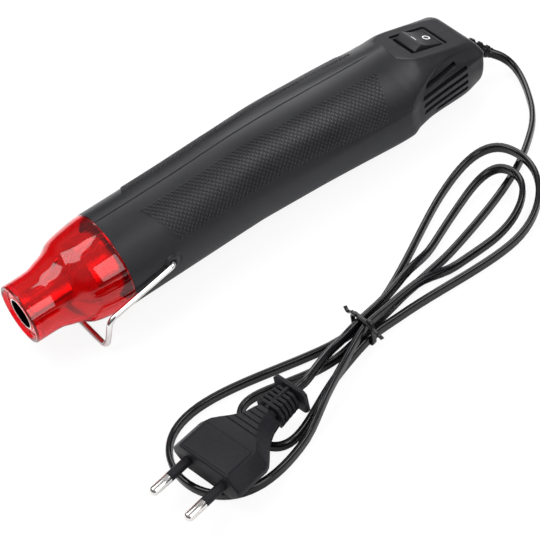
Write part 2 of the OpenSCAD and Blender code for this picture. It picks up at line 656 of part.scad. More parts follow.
// Plug: its direction, the middle of its pin face, and its height above the table
plug_yaw = 188.7;
plug_face = [-103.7, -108.4];
plug_rest = cord_w + 0.4;
pin_len = 19;
sleeve_len = 10;
function plug_at(a) = [plug_face[0] + a * cos(plug_yaw), plug_face[1] + a * sin(plug_yaw),
    plug_rest + plug_h / 2];

// Mains cord. It stands on its edge all the way, so its centre is half its width above the table.
cord_z = cord_w / 2;
lead_pts = [[127.8, -7, 8.3], [130.6, -10.6, 6.3], [132, -15, 4.2], [131, -21, 2.8], [128, -28, 2.3],
    [124, -35, 2.3], [119, -42.5, 2.3],
    [112.5, -49.5, 2.3], [104, -56, 2.3], [94, -62.3, 2.3], [82, -68, 2.3], [67, -73.5, 2.3],
        [50, -78.5, 2.3], [36, -82, 2.3],
    [24, -83.9, 2.3], [16, -85.1, 2.3]];
function on_edge(pts) = [for (p = pts) [p[0], p[1], max(p[2], cord_z)]];
// Hank: the waist's place, the slope and bow of its run, and the spread of its strands
waist = [-15, -91];
hank_slope = 0.185;
hank_bow = 0.00085;
strand = cord_t + 0.7;
layer = cord_w + 0.9;
waist_lift = 1.1;
// Each end loop: side it lies on, reach, half width, fullness, drift, strand places, layers in and out, hump
loops = [[-1, 63, 13, 1.5, 2, 0, -strand, 0, 0, 0],
    [1, 107, 20.5, 0.6, -3.5, -strand, strand, 0, 0, 1],
    [-1, 94, 22, 0.3, 3, strand, -strand / 2, 0, 1, 0],
    [1, 98, 12, 1.2, -6, -strand / 2, strand / 2, 1, 1, 1]];
loop_rings = 24;
function full(q) = max([for (k = [1:49]) sin(3.6 * k) * pow(sin(1.8 * k), q)]);
function hank_point(u, v, z) = [waist[0] + u, waist[1] + hank_slope * u + hank_bow * u * u + v, z];
function loop_point(l, t) = let(
    s = sin(180 * t),
    u = l[0] * l[1] * s,
    v = -l[0] * l[2] / full(l[3]) * sin(360 * t) * pow(s, l[3]) + l[4] * s * s + l[5] + (l[6] - l[5]) * t,
    up = (t < 0.5 ? l[7] : l[8]) * smooth((50 - abs(u)) / 22),
    hump = l[9] * (layer + 0.4) * smooth(1.25 * (1 - abs(t - 0.5) / 0.26)))
    hank_point(u, v, cord_z + up * layer + hump + waist_lift * smooth(1 - abs(u) / 16));
hank_path = concat([lead_pts[len(lead_pts) - 1], hank_point(24, 0, cord_z), hank_point(12, 0,
    cord_z + waist_lift * 0.2)],
    [for (l = loops, i = [0:loop_rings - 1]) loop_point(l, i / loop_rings)],
    [for (u = [0, -5, -10]) hank_point(u, strand / 2,
        cord_z + layer + waist_lift * smooth(1 - abs(u) / 16))]);
tail_pts = [hank_path[len(hank_path) - 1], [-33, -92.9, 8.9],
    [-41, -96.3, 10.5], plug_at(-55), plug_at(-51.4), plug_at(-46.8)];

lead_start = unit(lead_pts[1] - lead_pts[0]);
hank_start = unit(hank_path[1] - hank_path[0]);
hank_end = unit(hank_path[len(hank_path) - 1] - hank_path[len(hank_path) - 2]);
function gap_between(p, q) = let(d = p - q) max(norm([d[0], d[1]]) - cord_t, abs(d[2]) - cord_w);
function shortest(path) = let(fine_path = fine(path, 4
    )) min([for (i = [0:len(fine_path) - 1], j = [i + 22:1:len(fine_path)
    - 1]) gap_between(fine_path[i], fine_path[j])]);

relief_start = [rear_x + 0.8, 0, belly_drop - cord_drop];
relief_way = lead_pts[0] - relief_start;
// Each point's share of the way from the housing to the free cord
relief_shares = [[0.15, 0.03, 0.05], [0.36, 0.2, 0.25], [0.6, 0.44, 0.52], [0.81, 0.7, 0.78]];
relief_line = fine([relief_start, for (f = relief_shares)
    [for (i = [0:2]) relief_start[i] + f[i] * relief_way[i]], lead_pts[0]], 6);
// Radius along the ribbed part, tapering towards the cord
function rib_r(i) = let(n = len(relief_line) - 1) i == 0 ? neck_r
    : cord_w / 2 + 0.4 + (i % 4 < 2 && i < n - 1 && i > 3 ? 1.1 - 0.6 * i / n : 0);
module cord_relief() {
    root = [[relief_s, 4.6], [tool_len - wall - 0.15, 4.6], [tool_len - wall - 0.1, neck_r],
        [tool_len + 0.3, neck_r]];
    n = len(relief_line) - 1;
    color([0.05, 0.05, 0.05]) loft(concat([for (r = root)
        swept_ring(barrel_point([r[0], 0, -cord_drop]), [1, 0, 0], r[1], r[1], 12)],
        [for (i = [0:n]) swept_ring(relief_line[i], i < 2 ? [1, 0, 0] : i == n ? lead_start
            : heading(relief_line, i), rib_r(i), rib_r(i), 12)]));
}
function barrel_point(p) = [p[0] + rear_x - tool_len, p[1], p[2] + belly_drop];

module cord_lead() {
    color([0.06, 0.06, 0.06]) sweep(fine(on_edge(lead_pts), 4), cord_w / 2, cord_t / 2, 8,
        start = lead_start, end = hank_start);
}
module cord_hank() {
    color([0.06, 0.06, 0.06]) sweep(hank_path, cord_w / 2, cord_t / 2, 8, start = hank_start,
        end = hank_end);
}
module cord_tail() {
    color([0.06, 0.06, 0.06]) sweep(fine(tail_pts, 3), cord_w / 2, cord_t / 2, 8, start = hank_end,
        end = plug_at(1) - plug_at(0));
}
module round_slab(w, h, r) {
    square([w - 2 * r, h], center = true);
    square([w, h - 2 * r], center = true);
    for (x = [-1, 1], y = [-1, 1]) translate([x * (w / 2 - r), y * (h / 2 - r)]) circle(r = r);
}
module cord_tie() {
    inner_w = 2 * strand + cord_t + 1.3;
    inner_h = layer + cord_w + 0.7;
    t = 0.8;
    color([0.04, 0.04, 0.04]) translate([waist[0], waist[1], waist_lift - 0.3 + inner_h / 2])
        rotate([0, 0, atan(hank_slope)]) {
        rotate([90, 0, 90]) linear_extrude(3.4, center = true) difference() {
            round_slab(inner_w + 2 * t, inner_h + 2 * t, 2.2);
            round_slab(inner_w, inner_h, 1.5);
        }
        for (side = [-1, 1]) translate([0, side * (inner_w / 2 + t - 0.1), 1])
            rotate([-90 * side, 0, 0]) rotate([0, 14 * side, 0]) cylinder(h = 7, r = 0.9);
    }
}

// Flat two-pin plug, lying on the end loops
module in_plug() {
    translate(plug_at(0)) rotate([0, 0, plug_yaw]) children();
}
// Plug outline: distance behind the pin face, half width and half height as shares of the full ones
plug_line = [[0, 0.97, 0.93], [0.9, 1, 1], [14.5, 1, 1], [16.5, 0.96, 1], [19, 0.84, 1],
    [22, 0.68, 0.98], [25.5, 0.53, 0.94],
    [29, 0.43, 0.9], [33, 0.37, 0.84]];
function plug_ring(p) = let(
    b = p[1] * plug_w / 2,
    h = p[2] * plug_h / 2,
    f = b - h * 0.75,
    e = 1.1)
    [for (q = [[b, e], [f, h], [-f, h], [-b, e], [-b, -e], [-f, -h], [f, -h],
        [b, -e]]) [-p[0], q[0], q[1]]];
module plug_body() {
    rib_w = 0.37 * plug_w;
    rib_h = 0.8 * plug_h;
    color([0.1, 0.1, 0.105]) in_plug() difference() {
        union() {
            loft([for (i = [len(plug_line) - 1:-1:0]) plug_ring(plug_line[i])]);
            translate([-44, -4.2, -3.9]) cube([12, 8.4, 7.8]);
            for (i = [0:4]) translate([-35.2 - i * 2.1, -rib_w / 2, -rib_h / 2]) cube([1.1, rib_w, rib_h]);
            translate([-46.8, -8.2, -6]) cube([3, 16.4, 12]);
        }
        for (side = [-1, 1]) translate([-12, side * pin_pitch / 2, 0])
            rotate([0, 90, 0]) cylinder(h = 20, r = root_pin_r + 0.02);
    }
}
module plug_pins() {
    color("silver") in_plug() for (side = [-1, 1]) translate([0, side * pin_pitch / 2, 0]) {
        spun(-11.9, pin_len - 1, core_pin_r);
        spun(-11.9, -0.05, root_pin_r);
        spun(sleeve_len, pin_len - 1, pin_d / 2);
        translate([pin_len - 1, 0, 0]) rotate([0, 90, 0])
            cylinder(h = 1, r1 = pin_d / 2, r2 = pin_d / 2 - 1);
    }
}
core_pin_r = 1.3;
root_pin_r = 1.6;
module pin_sleeves() {
    color([0.08, 0.08, 0.08]) in_plug() for (side = [-1, 1]) translate([0, side * pin_pitch / 2, 0])
        tube(0.05, sleeve_len - 0.05, pin_d / 2, core_pin_r + 0.02);
}

echo(least_gap_in_the_hank = shortest(hank_path));

left_shell();
right_shell();
shell_screws();
nozzle_guard();
heater_tube();
mica_sleeve();
mica_former();
heating_coil();
heater_plate();
thermal_cutout();
heater_leads();
fan_duct();
fan_impeller();
motor_shaft();
rotor_core();
commutator();
motor_can();
motor_magnets();
motor_bushes();
motor_end_cap();
motor_brushes();
motor_terminals();
circuit_board();
rectifier_diodes();
filter_capacitor();
switch_housing();
switch_rocker();
switch_pin();
switch_terminals();
power_leads();
cord_clamp();
clamp_screws();
cord_inner();
cord_relief();
wire_stand();
cord_lead();
cord_hank();
cord_tail();
cord_tie();
plug_body();
plug_pins();
pin_sleeves();
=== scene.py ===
import json
import math

import bmesh
import bpy
from mathutils import Matrix, Vector


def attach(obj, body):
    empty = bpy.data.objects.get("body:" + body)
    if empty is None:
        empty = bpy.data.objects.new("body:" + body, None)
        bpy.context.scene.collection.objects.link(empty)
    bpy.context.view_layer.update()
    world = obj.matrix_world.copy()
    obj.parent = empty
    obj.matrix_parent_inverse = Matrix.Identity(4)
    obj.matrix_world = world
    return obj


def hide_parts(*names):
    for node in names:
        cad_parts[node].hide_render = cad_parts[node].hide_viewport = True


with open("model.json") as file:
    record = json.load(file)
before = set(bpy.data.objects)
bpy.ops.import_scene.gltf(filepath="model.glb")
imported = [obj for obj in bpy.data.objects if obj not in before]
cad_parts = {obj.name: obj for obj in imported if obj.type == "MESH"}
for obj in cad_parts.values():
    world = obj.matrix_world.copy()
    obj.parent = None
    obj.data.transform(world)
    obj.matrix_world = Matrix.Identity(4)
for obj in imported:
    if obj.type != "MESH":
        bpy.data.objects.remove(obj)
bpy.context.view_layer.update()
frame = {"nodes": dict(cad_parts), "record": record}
mm = 0.001

# the tool's own measures, in millimetres along, across and above its barrel's middle
tool = {"length": 232.0, "axisHeight": 22.5, "guardLength": 42.5, "wall": 2.2, "rearRound": 4.0, "deckAngle": 17.0,
        "deckAt": 210.0, "deckHeight": 10.6}


def at(s, y, z):
    return Vector(((s - tool["length"] / 2) * mm, y * mm, (z + tool["axisHeight"]) * mm))


def smoothStep(x):
    x = min(1.0, max(0.0, x))
    return x * x * (3 - 2 * x)


def eased(a, b, slopeA, slopeB, u):
    # from a to b, leaving and arriving at the given slopes
    mix = 3 * u * u - 2 * u ** 3
    return a * (1 - mix) + b * mix + slopeA * (u ** 3 - 2 * u * u + u) + slopeB * (u ** 3 - u * u)


def follow(table, x):
    # a smooth line through a table of [where, value] rows
    last = len(table) - 1
    i = next((k for k in range(last) if x < table[k + 1][0]), last - 1)

    def slope(k):
        if k in (0, last):
            return 0.0
        return (table[k + 1][1] - table[k - 1][1]) / (table[k + 1][0] - table[k - 1][0])

    step = table[i + 1][0] - table[i][0]
    u = min(1.0, max(0.0, (x - table[i][0]) / step))
    return eased(table[i][1], table[i + 1][1], step * slope(i), step * slope(i + 1), u)


def splineThrough(points, steps):
    # one smooth curve through the points, as the cord's solids have it
    points = [Vector(p) for p in points]
    last = len(points) - 1
    out = []
    for i in range(last):
        a, b = points[i], points[i + 1]
        ta = b - a if i == 0 else (b - points[i - 1]) / 2
        tb = b - a if i == last - 1 else (points[i + 2] - a) / 2
        out += [eased(a, b, ta, tb, j / steps) for j in range(steps)]
    return out + [points[last]]


def unitTurns(path):
    # heading at each point of a path
    last = len(path) - 1
    turns = []
    for i in range(last + 1):
        before = path[max(i - 1, 0)]
        after = path[min(i + 1, last)]
        turns.append((after - before).normalized())
    return turns


def circle(count):
    # even angles round a full turn
    return [2 * math.pi * k / count for k in range(count)]


def joinRings(bm, rings, closeEnds=True):
    # a skin over a row of equal rings; a ring of one vertex draws it to a point
    for a, b in zip(rings, rings[1:]):
        count = max(len(a), len(b))
        for k in range(count):
            j = (k + 1) % count
            corners = (a[k % len(a)], a[j % len(a)], b[j % len(b)], b[k % len(b)])
            bm.faces.new(list(dict.fromkeys(corners)))
    if closeEnds:
        bm.faces.new(list(reversed(rings[0])))
        bm.faces.new(rings[-1])


def faceOutwards(bm):
    bmesh.ops.recalc_face_normals(bm, faces=bm.faces)


def sharpEdges(bm, angle):
    return [e for e in bm.edges if e.calc_face_angle(0) > angle]


def roundEdges(bm, edges, width, segments):
    bmesh.ops.bevel(bm, geom=edges, offset=width * mm, segments=segments, profile=0.5, affect="EDGES", material=-1)


def linked(name, data):
    item = bpy.data.objects.new(name, data)
    bpy.context.scene.collection.objects.link(item)
    return item


def looseObject(name, bm):
    mesh = bpy.data.meshes.new(name)
    bm.to_mesh(mesh)
    bm.free()
    return linked(name, mesh)


def surfaced(piece, material, sharpAngle):
    # one material, smooth faces, and edges that stay sharp above the angle
    piece.data.materials.clear()
    if material:
        piece.data.materials.append(material)
    piece.data.shade_smooth()
    if sharpAngle:
        piece.data.set_sharp_from_angle(angle=math.radians(sharpAngle))


def newPiece(name, bm, body, material, sharpAngle=40):
    piece = looseObject(name, bm)
    surfaced(piece, material, sharpAngle)
    if body:
        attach(piece, body)
    return piece


def sweptTube(path, profile):
    # a closed tube along a path; profile is one ring of (sideways, upward) offsets
    bm = bmesh.new()
    rings = []
    for point, heading in zip(path, unitTurns(path)):
        side = Vector((0, 0, 1)).cross(heading).normalized()
        up = heading.cross(side)
        rings.append([bm.verts.new((point + side * a + up * b) * mm) for a, b in profile])
    joinRings(bm, rings)
    faceOutwards(bm)
    return bm


# the camera stands where the photograph was taken from, rolled as it was
camera = {"place": (-261.5, -491.7, 531.7), "right": (0.7867, -0.5973, -0.1560),
          "down": (-0.5241, -0.5127, -0.6801), "forward": (0.3263, 0.6168, -0.7163), "lens": 120.0}
cameraData = bpy.data.cameras.new("photoCamera")
cameraData.lens = camera["lens"]
cameraData.sensor_width = 36
cameraData.clip_start = 0.01
cameraData.clip_end = 20
cameraObject = linked("photoCamera", cameraData)
right, down, forward = (Vector(camera[k]).normalized() for k in ("right", "down", "forward"))
pose = Matrix((right, -down, -forward)).transposed().to_4x4()
pose.translation = Vector(camera["place"]) * mm
cameraObject.matrix_world = pose
bpy.context.scene.camera = cameraObject
bpy.context.scene.view_settings.view_transform = "Standard"
print("camera set")

# the mains cord: a flat twin cord on its edge, one length from the relief to the plug
cord = {"width": 4.6, "thickness": 2.9, "groove": 0.2, "waist": (-15.0, -91.0), "slope": 0.185, "bow": 0.00085,
        "layer": 5.5, "lift": 1.1, "liftReach": 16, "climbEnds": 50, "climb": 22, "between": 0.7, "loopSteps": 64}
leadPoints = [(127.8, -7, 8.3), (130.6, -10.6, 6.3), (132, -15, 4.2), (131, -21, 2.8), (128, -28, 2.3),
              (124, -35, 2.3), (119, -42.5, 2.3), (112.5, -49.5, 2.3), (104, -56, 2.3), (94, -62.3, 2.3),
              (82, -68, 2.3), (67, -73.5, 2.3), (50, -78.5, 2.3), (36, -82, 2.3), (24, -83.9, 2.3), (16, -85.1, 2.3)]
tailPoints = [(-33, -92.9, 8.9), (-41, -96.3, 10.5)]
plug = {"yaw": 188.7, "face": (-103.7, -108.4), "rest": 5.0, "width": 35.3, "height": 13.7, "pinPitch": 18.6}
plugHeading = Vector((math.cos(math.radians(plug["yaw"])), math.sin(math.radians(plug["yaw"])), 0))


def onPlug(ahead, aside=0.0, above=0.0):
    # a point of the plug, in millimetres ahead of its pin face
    across = Vector((-plugHeading.y, plugHeading.x, 0))
    base = Vector((plug["face"][0], plug["face"][1], plug["rest"] + plug["height"] / 2))
    return base + plugHeading * ahead + across * aside + Vector((0, 0, above))


def onHank(u, v, z):
    x, y = cord["waist"]
    return Vector((x + u, y + cord["slope"] * u + cord["bow"] * u * u + v, z))


def waistLift(u):
    # the turns are drawn up a little under the tie
    return cord["lift"] * smoothStep(1 - abs(u) / cord["liftReach"])


strand = cord["thickness"] + cord["between"]
# side, reach, half width, fullness, drift, strand in and out, layer in and out, hump over the lead
loopRows = [(-1, 63, 13, 1.5, 2, 0, -strand, 0, 0, 0), (1, 107, 20.5, 0.6, -3.5, -strand, strand, 0, 0, 1),
            (-1, 94, 22, 0.3, 3, strand, -strand / 2, 0, 1, 0),
            (1, 98, 12, 1.2, -6, -strand / 2, strand / 2, 1, 1, 1)]


def onLoop(row, t):
    side, reach, half, full, drift, strandIn, strandOut, layerIn, layerOut, hump = row
    s = math.sin(math.pi * t)
    u = side * reach * s
    most = max(math.sin(math.radians(3.6 * k)) * math.sin(math.radians(1.8 * k)) ** full for k in range(1, 50))
    v = -side * half / most * math.sin(2 * math.pi * t) * s ** full + drift * s * s
    v += strandIn + (strandOut - strandIn) * t
    up = (layerIn if t < 0.5 else layerOut) * smoothStep((cord["climbEnds"] - abs(u)) / cord["climb"])
    rise = hump * (cord["layer"] + 0.4) * smoothStep(1.25 * (1 - abs(t - 0.5) / 0.26))
    return onHank(u, v, cord["width"] / 2 + up * cord["layer"] + rise + waistLift(u))


half = cord["width"] / 2
cordPath = splineThrough(leadPoints, 6)[:-1]
underTie = [onHank(24, 0, half), onHank(12, 0, half + cord["lift"] * 0.2), onHank(0, 0, half + cord["lift"])]
cordPath += splineThrough([leadPoints[-1]] + underTie, 5)[:-1]
for row in loopRows:
    cordPath += [onLoop(row, i / cord["loopSteps"]) for i in range(cord["loopSteps"])]
hankEnd = [onHank(u, strand / 2, half + cord["layer"] + waistLift(u)) for u in (0, -5, -10)]
cordPath += splineThrough(hankEnd + tailPoints + [onPlug(-55), onPlug(-51.4), onPlug(-46.6)], 4)


def cordProfile(corners=20):
    # flat sides with a shallow groove between the two cores
    ring = []
    for k in range(corners):
        a = 2 * math.pi * (k + 0.5) / corners
        waist = 1 - cord["groove"] * math.exp(-(math.sin(a) / 0.3) ** 2)
        squareOff = abs(math.cos(a)) ** 0.8 * math.copysign(1, math.cos(a))
        ring.append((cord["thickness"] / 2 * squareOff * waist, cord["width"] / 2 * math.sin(a)))
    return ring


cordPiece = newPiece("mainsCord", sweptTube(cordPath, cordProfile()), "body", None, 60)
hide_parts("cord_lead", "cord_hank", "cord_tail")
print("cord made")


def feed(tree, socket, value):
    # sets a plain value, or links another node's output
    if isinstance(value, bpy.types.NodeSocket):
        tree.links.new(value, socket)
    else:
        socket.default_value = value


def addNode(tree, kind, **settings):
    node = tree.nodes.new("ShaderNode" + kind)
    for label, value in settings.items():
        feed(tree, node.inputs[label.replace("_", " ")], value)
    return node


def mathNode(tree, operation, a, b=None):
    node = addNode(tree, "Math")
    node.operation = operation
    for socket, value in zip(node.inputs, (a, b)):
        if value is not None:
            feed(tree, socket, value)
    return node.outputs[0]


def mixColours(tree, factor, a, b):
    node = addNode(tree, "Mix")
    node.data_type = "RGBA"
    for label, value in (("Factor", factor), ("A", a), ("B", b)):
        feed(tree, node.inputs[label], value)
    return node.outputs["Result"]


def seenDirectly(tree):
    # 1 for what the camera sees, plainly or through the clear guard, else 0
    rays = addNode(tree, "LightPath")
    return mathNode(tree, "MAXIMUM", rays.outputs["Is Camera Ray"], rays.outputs["Is Transmission Ray"])


def mixSurface(tree, factor, a, b, output):
    mix = addNode(tree, "MixShader", Fac=factor)
    tree.links.new(a.outputs[0], mix.inputs[1])
    tree.links.new(b.outputs[0], mix.inputs[2])
    addNode(tree, output, Surface=mix.outputs[0])


# a white room with four soft lamps; the floor shows near white and keeps a light shadow
studio = {"roomWhite": 1.0, "roomTint": (0.97, 0.98, 1), "floorLight": 0.9, "floorGreys": (0.86, 0.88),
          "room": [(0.0, 0.16), (0.14, 0.05), (0.34, 0.10), (0.58, 0.42), (1.0, 0.62)],
          "lamps": [("overheadSoftbox", (-241, 100, 487), (-91, 0, 22), 0.30, 0.40, 2.1),
                    ("nearSoftbox", (-41, -425, 232), (-91, 0, 22), 0.13, 0.34, 0.62),
                    ("backSoftbox", (330, 330, 420), (40, -30, 10), 0.50, 0.30, 2.3),
                    ("rearSoftbox", (260, -300, 460), (90, -40, 10), 0.30, 0.22, 1.5)]}
world = bpy.data.worlds.new("studioRoom")
bpy.context.scene.world = world
world.use_nodes = True
tree = world.node_tree
tree.nodes.clear()
seen = addNode(tree, "Background", Color=(1, 1, 1, 1), Strength=studio["roomWhite"])
apart = addNode(tree, "SeparateXYZ", Vector=addNode(tree, "TexCoord").outputs["Generated"])
roomRamp = addNode(tree, "ValToRGB", Fac=apart.outputs["Z"])
ramp = roomRamp.color_ramp
while len(ramp.elements) < len(studio["room"]):
    ramp.elements.new(0.5)
for element, (height, bright) in zip(ramp.elements, studio["room"]):
    element.position = height
    element.color = (*(share * bright for share in studio["roomTint"]), 1)
lighting = addNode(tree, "Background", Color=roomRamp.outputs["Color"])
mixSurface(tree, seenDirectly(tree), lighting, seen, "OutputWorld")
for name, place, aim, wide, tall, power in studio["lamps"]:
    lamp = bpy.data.lights.new(name, "AREA")
    lamp.shape = "RECTANGLE"
    lamp.size, lamp.size_y = wide, tall
    lamp.energy = power
    lampObject = linked(name, lamp)
    lampObject.location = Vector(place) * mm
    lampObject.rotation_euler = (Vector(aim) - Vector(place)).to_track_quat("-Z", "Y").to_euler()

floorMaterial = bpy.data.materials.new("paleFloor")
floorMaterial.use_nodes = True
tree = floorMaterial.node_tree
tree.nodes.clear()
speckle = addNode(tree, "TexNoise", Scale=40)
greys = [(grey, grey, grey, 1) for grey in studio["floorGreys"]]
matt = addNode(tree, "BsdfDiffuse", Color=mixColours(tree, speckle.outputs["Fac"], *greys))
glow = addNode(tree, "Emission")
share = mathNode(tree, "MULTIPLY", seenDirectly(tree), studio["floorLight"])
mixSurface(tree, share, matt, glow, "OutputMaterial")
bm = bmesh.new()
bmesh.ops.create_grid(bm, x_segments=4, y_segments=4, size=3.0)
floor = newPiece("studioFloor", bm, None, floorMaterial, 0)
print("studio lit")


def shaderGroup(name, base, second, size, glossLow, glossHigh):
    # an effect that puts out a colour, a roughness and a height; second and size are (label, value) pairs
    group = bpy.data.node_groups.new(name, "ShaderNodeTree")
    for label, kind, value in (("Base", "Color", (*base, 1)), (second[0], "Color", (*second[1], 1)),
                               (size[0], "Float", size[1]), ("Gloss low", "Float", glossLow),
                               ("Gloss high", "Float", glossHigh)):
        socket = group.interface.new_socket(name=label, in_out="INPUT", socket_type="NodeSocket" + kind)
        socket.default_value = value
    for label, kind in (("Color", "Color"), ("Roughness", "Float"), ("Height", "Float")):
        group.interface.new_socket(name=label, in_out="OUTPUT", socket_type="NodeSocket" + kind)
    return group, group.nodes.new("NodeGroupInput"), group.nodes.new("NodeGroupOutput")


def groupResults(group, groupIn, groupOut, colourMix, glossBy, glossSpan, height):
    # the last steps that both effects share
    colour = mixColours(group, colourMix, groupIn.outputs[0], groupIn.outputs[1])
    glossRange = addNode(group, "MapRange", Value=glossBy, From_Min=glossSpan[0], From_Max=glossSpan[1],
                         To_Min=groupIn.outputs["Gloss low"], To_Max=groupIn.outputs["Gloss high"])
    group.links.new(colour, groupOut.inputs["Color"])
    group.links.new(glossRange.outputs[0], groupOut.inputs["Roughness"])
    group.links.new(height, groupOut.inputs["Height"])


# moulded plastic: a fine spark-eroded grain, faint clouding of the colour, handling marks in the gloss
moulded = {"cloudSize": 38, "cloudFrom": 0.35, "cloudAmount": 1.2, "grainAmount": 1.4, "glossSpan": (0.3, 0.7)}
mouldedGrain, groupIn, groupOut = shaderGroup("mouldedGrain", (0.03, 0.03, 0.03), ("Pale", (0.06, 0.06, 0.06)),
                                              ("Grain size", 2400.0), 0.4, 0.6)
place = addNode(mouldedGrain, "TexCoord").outputs["Object"]
fine = addNode(mouldedGrain, "TexNoise", Vector=place, Scale=groupIn.outputs["Grain size"], Detail=3)
cloud = addNode(mouldedGrain, "TexNoise", Vector=place, Scale=moulded["cloudSize"], Detail=5)
cloudy = mathNode(mouldedGrain, "SUBTRACT", cloud.outputs["Fac"], moulded["cloudFrom"])
cloudy = mathNode(mouldedGrain, "MULTIPLY", cloudy, moulded["cloudAmount"])
grainy = mathNode(mouldedGrain, "SUBTRACT", fine.outputs["Fac"], 0.5)
grainy = mathNode(mouldedGrain, "MULTIPLY", grainy, moulded["grainAmount"])
clamped = addNode(mouldedGrain, "Clamp", Value=mathNode(mouldedGrain, "ADD", cloudy, grainy))
groupResults(mouldedGrain, groupIn, groupOut, clamped.outputs[0], cloud.outputs["Fac"], moulded["glossSpan"],
             fine.outputs["Fac"])

# worked metal: drawn or turned streaks and a little tarnish
worked = {"stretch": (0.08, 1, 1), "stainSize": 90, "stainSpan": (0.45, 0.8), "glossSpan": (0, 1)}
workedMetal, groupIn, groupOut = shaderGroup("workedMetal", (0.6, 0.6, 0.6), ("Tarnish", (0.4, 0.4, 0.4)),
                                             ("Streak size", 900.0), 0.1, 0.25)
place = addNode(workedMetal, "TexCoord").outputs["Object"]
stretch = addNode(workedMetal, "Mapping", Vector=place, Scale=worked["stretch"])
streaks = addNode(workedMetal, "TexNoise", Vector=stretch.outputs[0], Scale=groupIn.outputs["Streak size"], Detail=2)
stains = addNode(workedMetal, "TexNoise", Vector=place, Scale=worked["stainSize"], Detail=4)
stained = addNode(workedMetal, "MapRange", Value=stains.outputs["Fac"], From_Min=worked["stainSpan"][0],
                  From_Max=worked["stainSpan"][1])
groupResults(workedMetal, groupIn, groupOut, stained.outputs[0], streaks.outputs["Fac"], worked["glossSpan"],
             streaks.outputs["Fac"])


def finished(name, group, base, second, size, glossLow, glossHigh, bump, bumpDepth=0.00005, **sockets):
    material = bpy.data.materials.new(name)
    material.use_nodes = True
    tree = material.node_tree
    shader = tree.nodes["Principled BSDF"]
    effect = addNode(tree, "Group")
    effect.node_tree = group
    for socket, value in zip(effect.inputs, ((*base, 1), (*second, 1), size, glossLow, glossHigh)):
        socket.default_value = value
    tree.links.new(effect.outputs["Color"], shader.inputs["Base Color"])
    tree.links.new(effect.outputs["Roughness"], shader.inputs["Roughness"])
    if bump:
        raised = addNode(tree, "Bump", Strength=bump, Distance=bumpDepth, Height=effect.outputs["Height"])
        tree.links.new(raised.outputs["Normal"], shader.inputs["Normal"])
    for label, value in sockets.items():
        shader.inputs[label.replace("_", " ")].default_value = value
    return material


# name, effect, its two colours, its size, least and most roughness, bump, then sockets of the shader itself
plasticBlack = finished("charcoalShell", mouldedGrain, (0.009, 0.009, 0.011), (0.019, 0.019, 0.022), 2200,
                        0.36, 0.48, 0.6, Specular_IOR_Level=0.26)
plasticGrip = finished("charcoalGrip", mouldedGrain, (0.018, 0.017, 0.020), (0.032, 0.031, 0.034), 2600,
                       0.36, 0.48, 0.3, Specular_IOR_Level=0.34)
plasticSwitch = finished("blackSwitch", mouldedGrain, (0.013, 0.013, 0.015), (0.022, 0.022, 0.025), 2200,
                         0.34, 0.46, 0.25, Specular_IOR_Level=0.28)
plasticPlug = finished("blackPlug", mouldedGrain, (0.008, 0.008, 0.010), (0.017, 0.016, 0.019), 1500,
                       0.40, 0.52, 0.5, Specular_IOR_Level=0.12)
rubberCord = finished("blackCord", mouldedGrain, (0.004, 0.004, 0.005), (0.008, 0.008, 0.009), 1400,
                      0.14, 0.24, 0.08, Specular_IOR_Level=0.3)
rubberRelief = finished("blackRelief", mouldedGrain, (0.005, 0.005, 0.006), (0.011, 0.011, 0.012), 1600,
                        0.24, 0.36, 0.2, Specular_IOR_Level=0.25)
clearRed = finished("clearRedGuard", mouldedGrain, (0.76, 0.002, 0.008), (0.86, 0.006, 0.014), 300,
                    0.012, 0.04, 0.0, Transmission_Weight=0.97, IOR=1.42, Specular_IOR_Level=0.42)
chromeWire = finished("chromeWire", workedMetal, (0.66, 0.65, 0.64), (0.46, 0.45, 0.44), 260,
                      0.06, 0.11, 0.0, Metallic=1.0)
pinMetal = finished("platedPins", workedMetal, (0.66, 0.64, 0.62), (0.48, 0.45, 0.42), 260,
                    0.08, 0.14, 0.0, Metallic=1.0)
plainSteel = finished("plainSteel", workedMetal, (0.56, 0.56, 0.57), (0.36, 0.34, 0.32), 900,
                      0.22, 0.42, 0.1, Metallic=1.0)
softBrass = finished("brassAndBronze", workedMetal, (0.70, 0.48, 0.22), (0.42, 0.26, 0.12), 800,
                     0.22, 0.40, 0.1, Metallic=1.0)
darkIron = finished("ferriteAndCarbon", workedMetal, (0.10, 0.10, 0.11), (0.05, 0.05, 0.05), 500, 0.45, 0.65, 0.2)
paleMica = finished("micaSheet", mouldedGrain, (0.62, 0.54, 0.40), (0.74, 0.68, 0.56), 700, 0.25, 0.45, 0.2)
boardGreen = finished("boardLaminate", mouldedGrain, (0.03, 0.13, 0.06), (0.05, 0.20, 0.09), 1100, 0.25, 0.40, 0.2)
plasticPale = finished("paleMoulding", mouldedGrain, (0.66, 0.65, 0.60), (0.74, 0.73, 0.70), 1500, 0.35, 0.50, 0.2)
finishOf = {"body": plasticBlack, "guard": clearRed, "steel": plainSteel, "chrome_wire": chromeWire,
            "pin_metal": pinMetal, "brass": softBrass, "iron": darkIron, "mica": paleMica, "board": boardGreen,
            "black_plastic": plasticSwitch, "white_plastic": plasticPale, "cord": rubberCord}

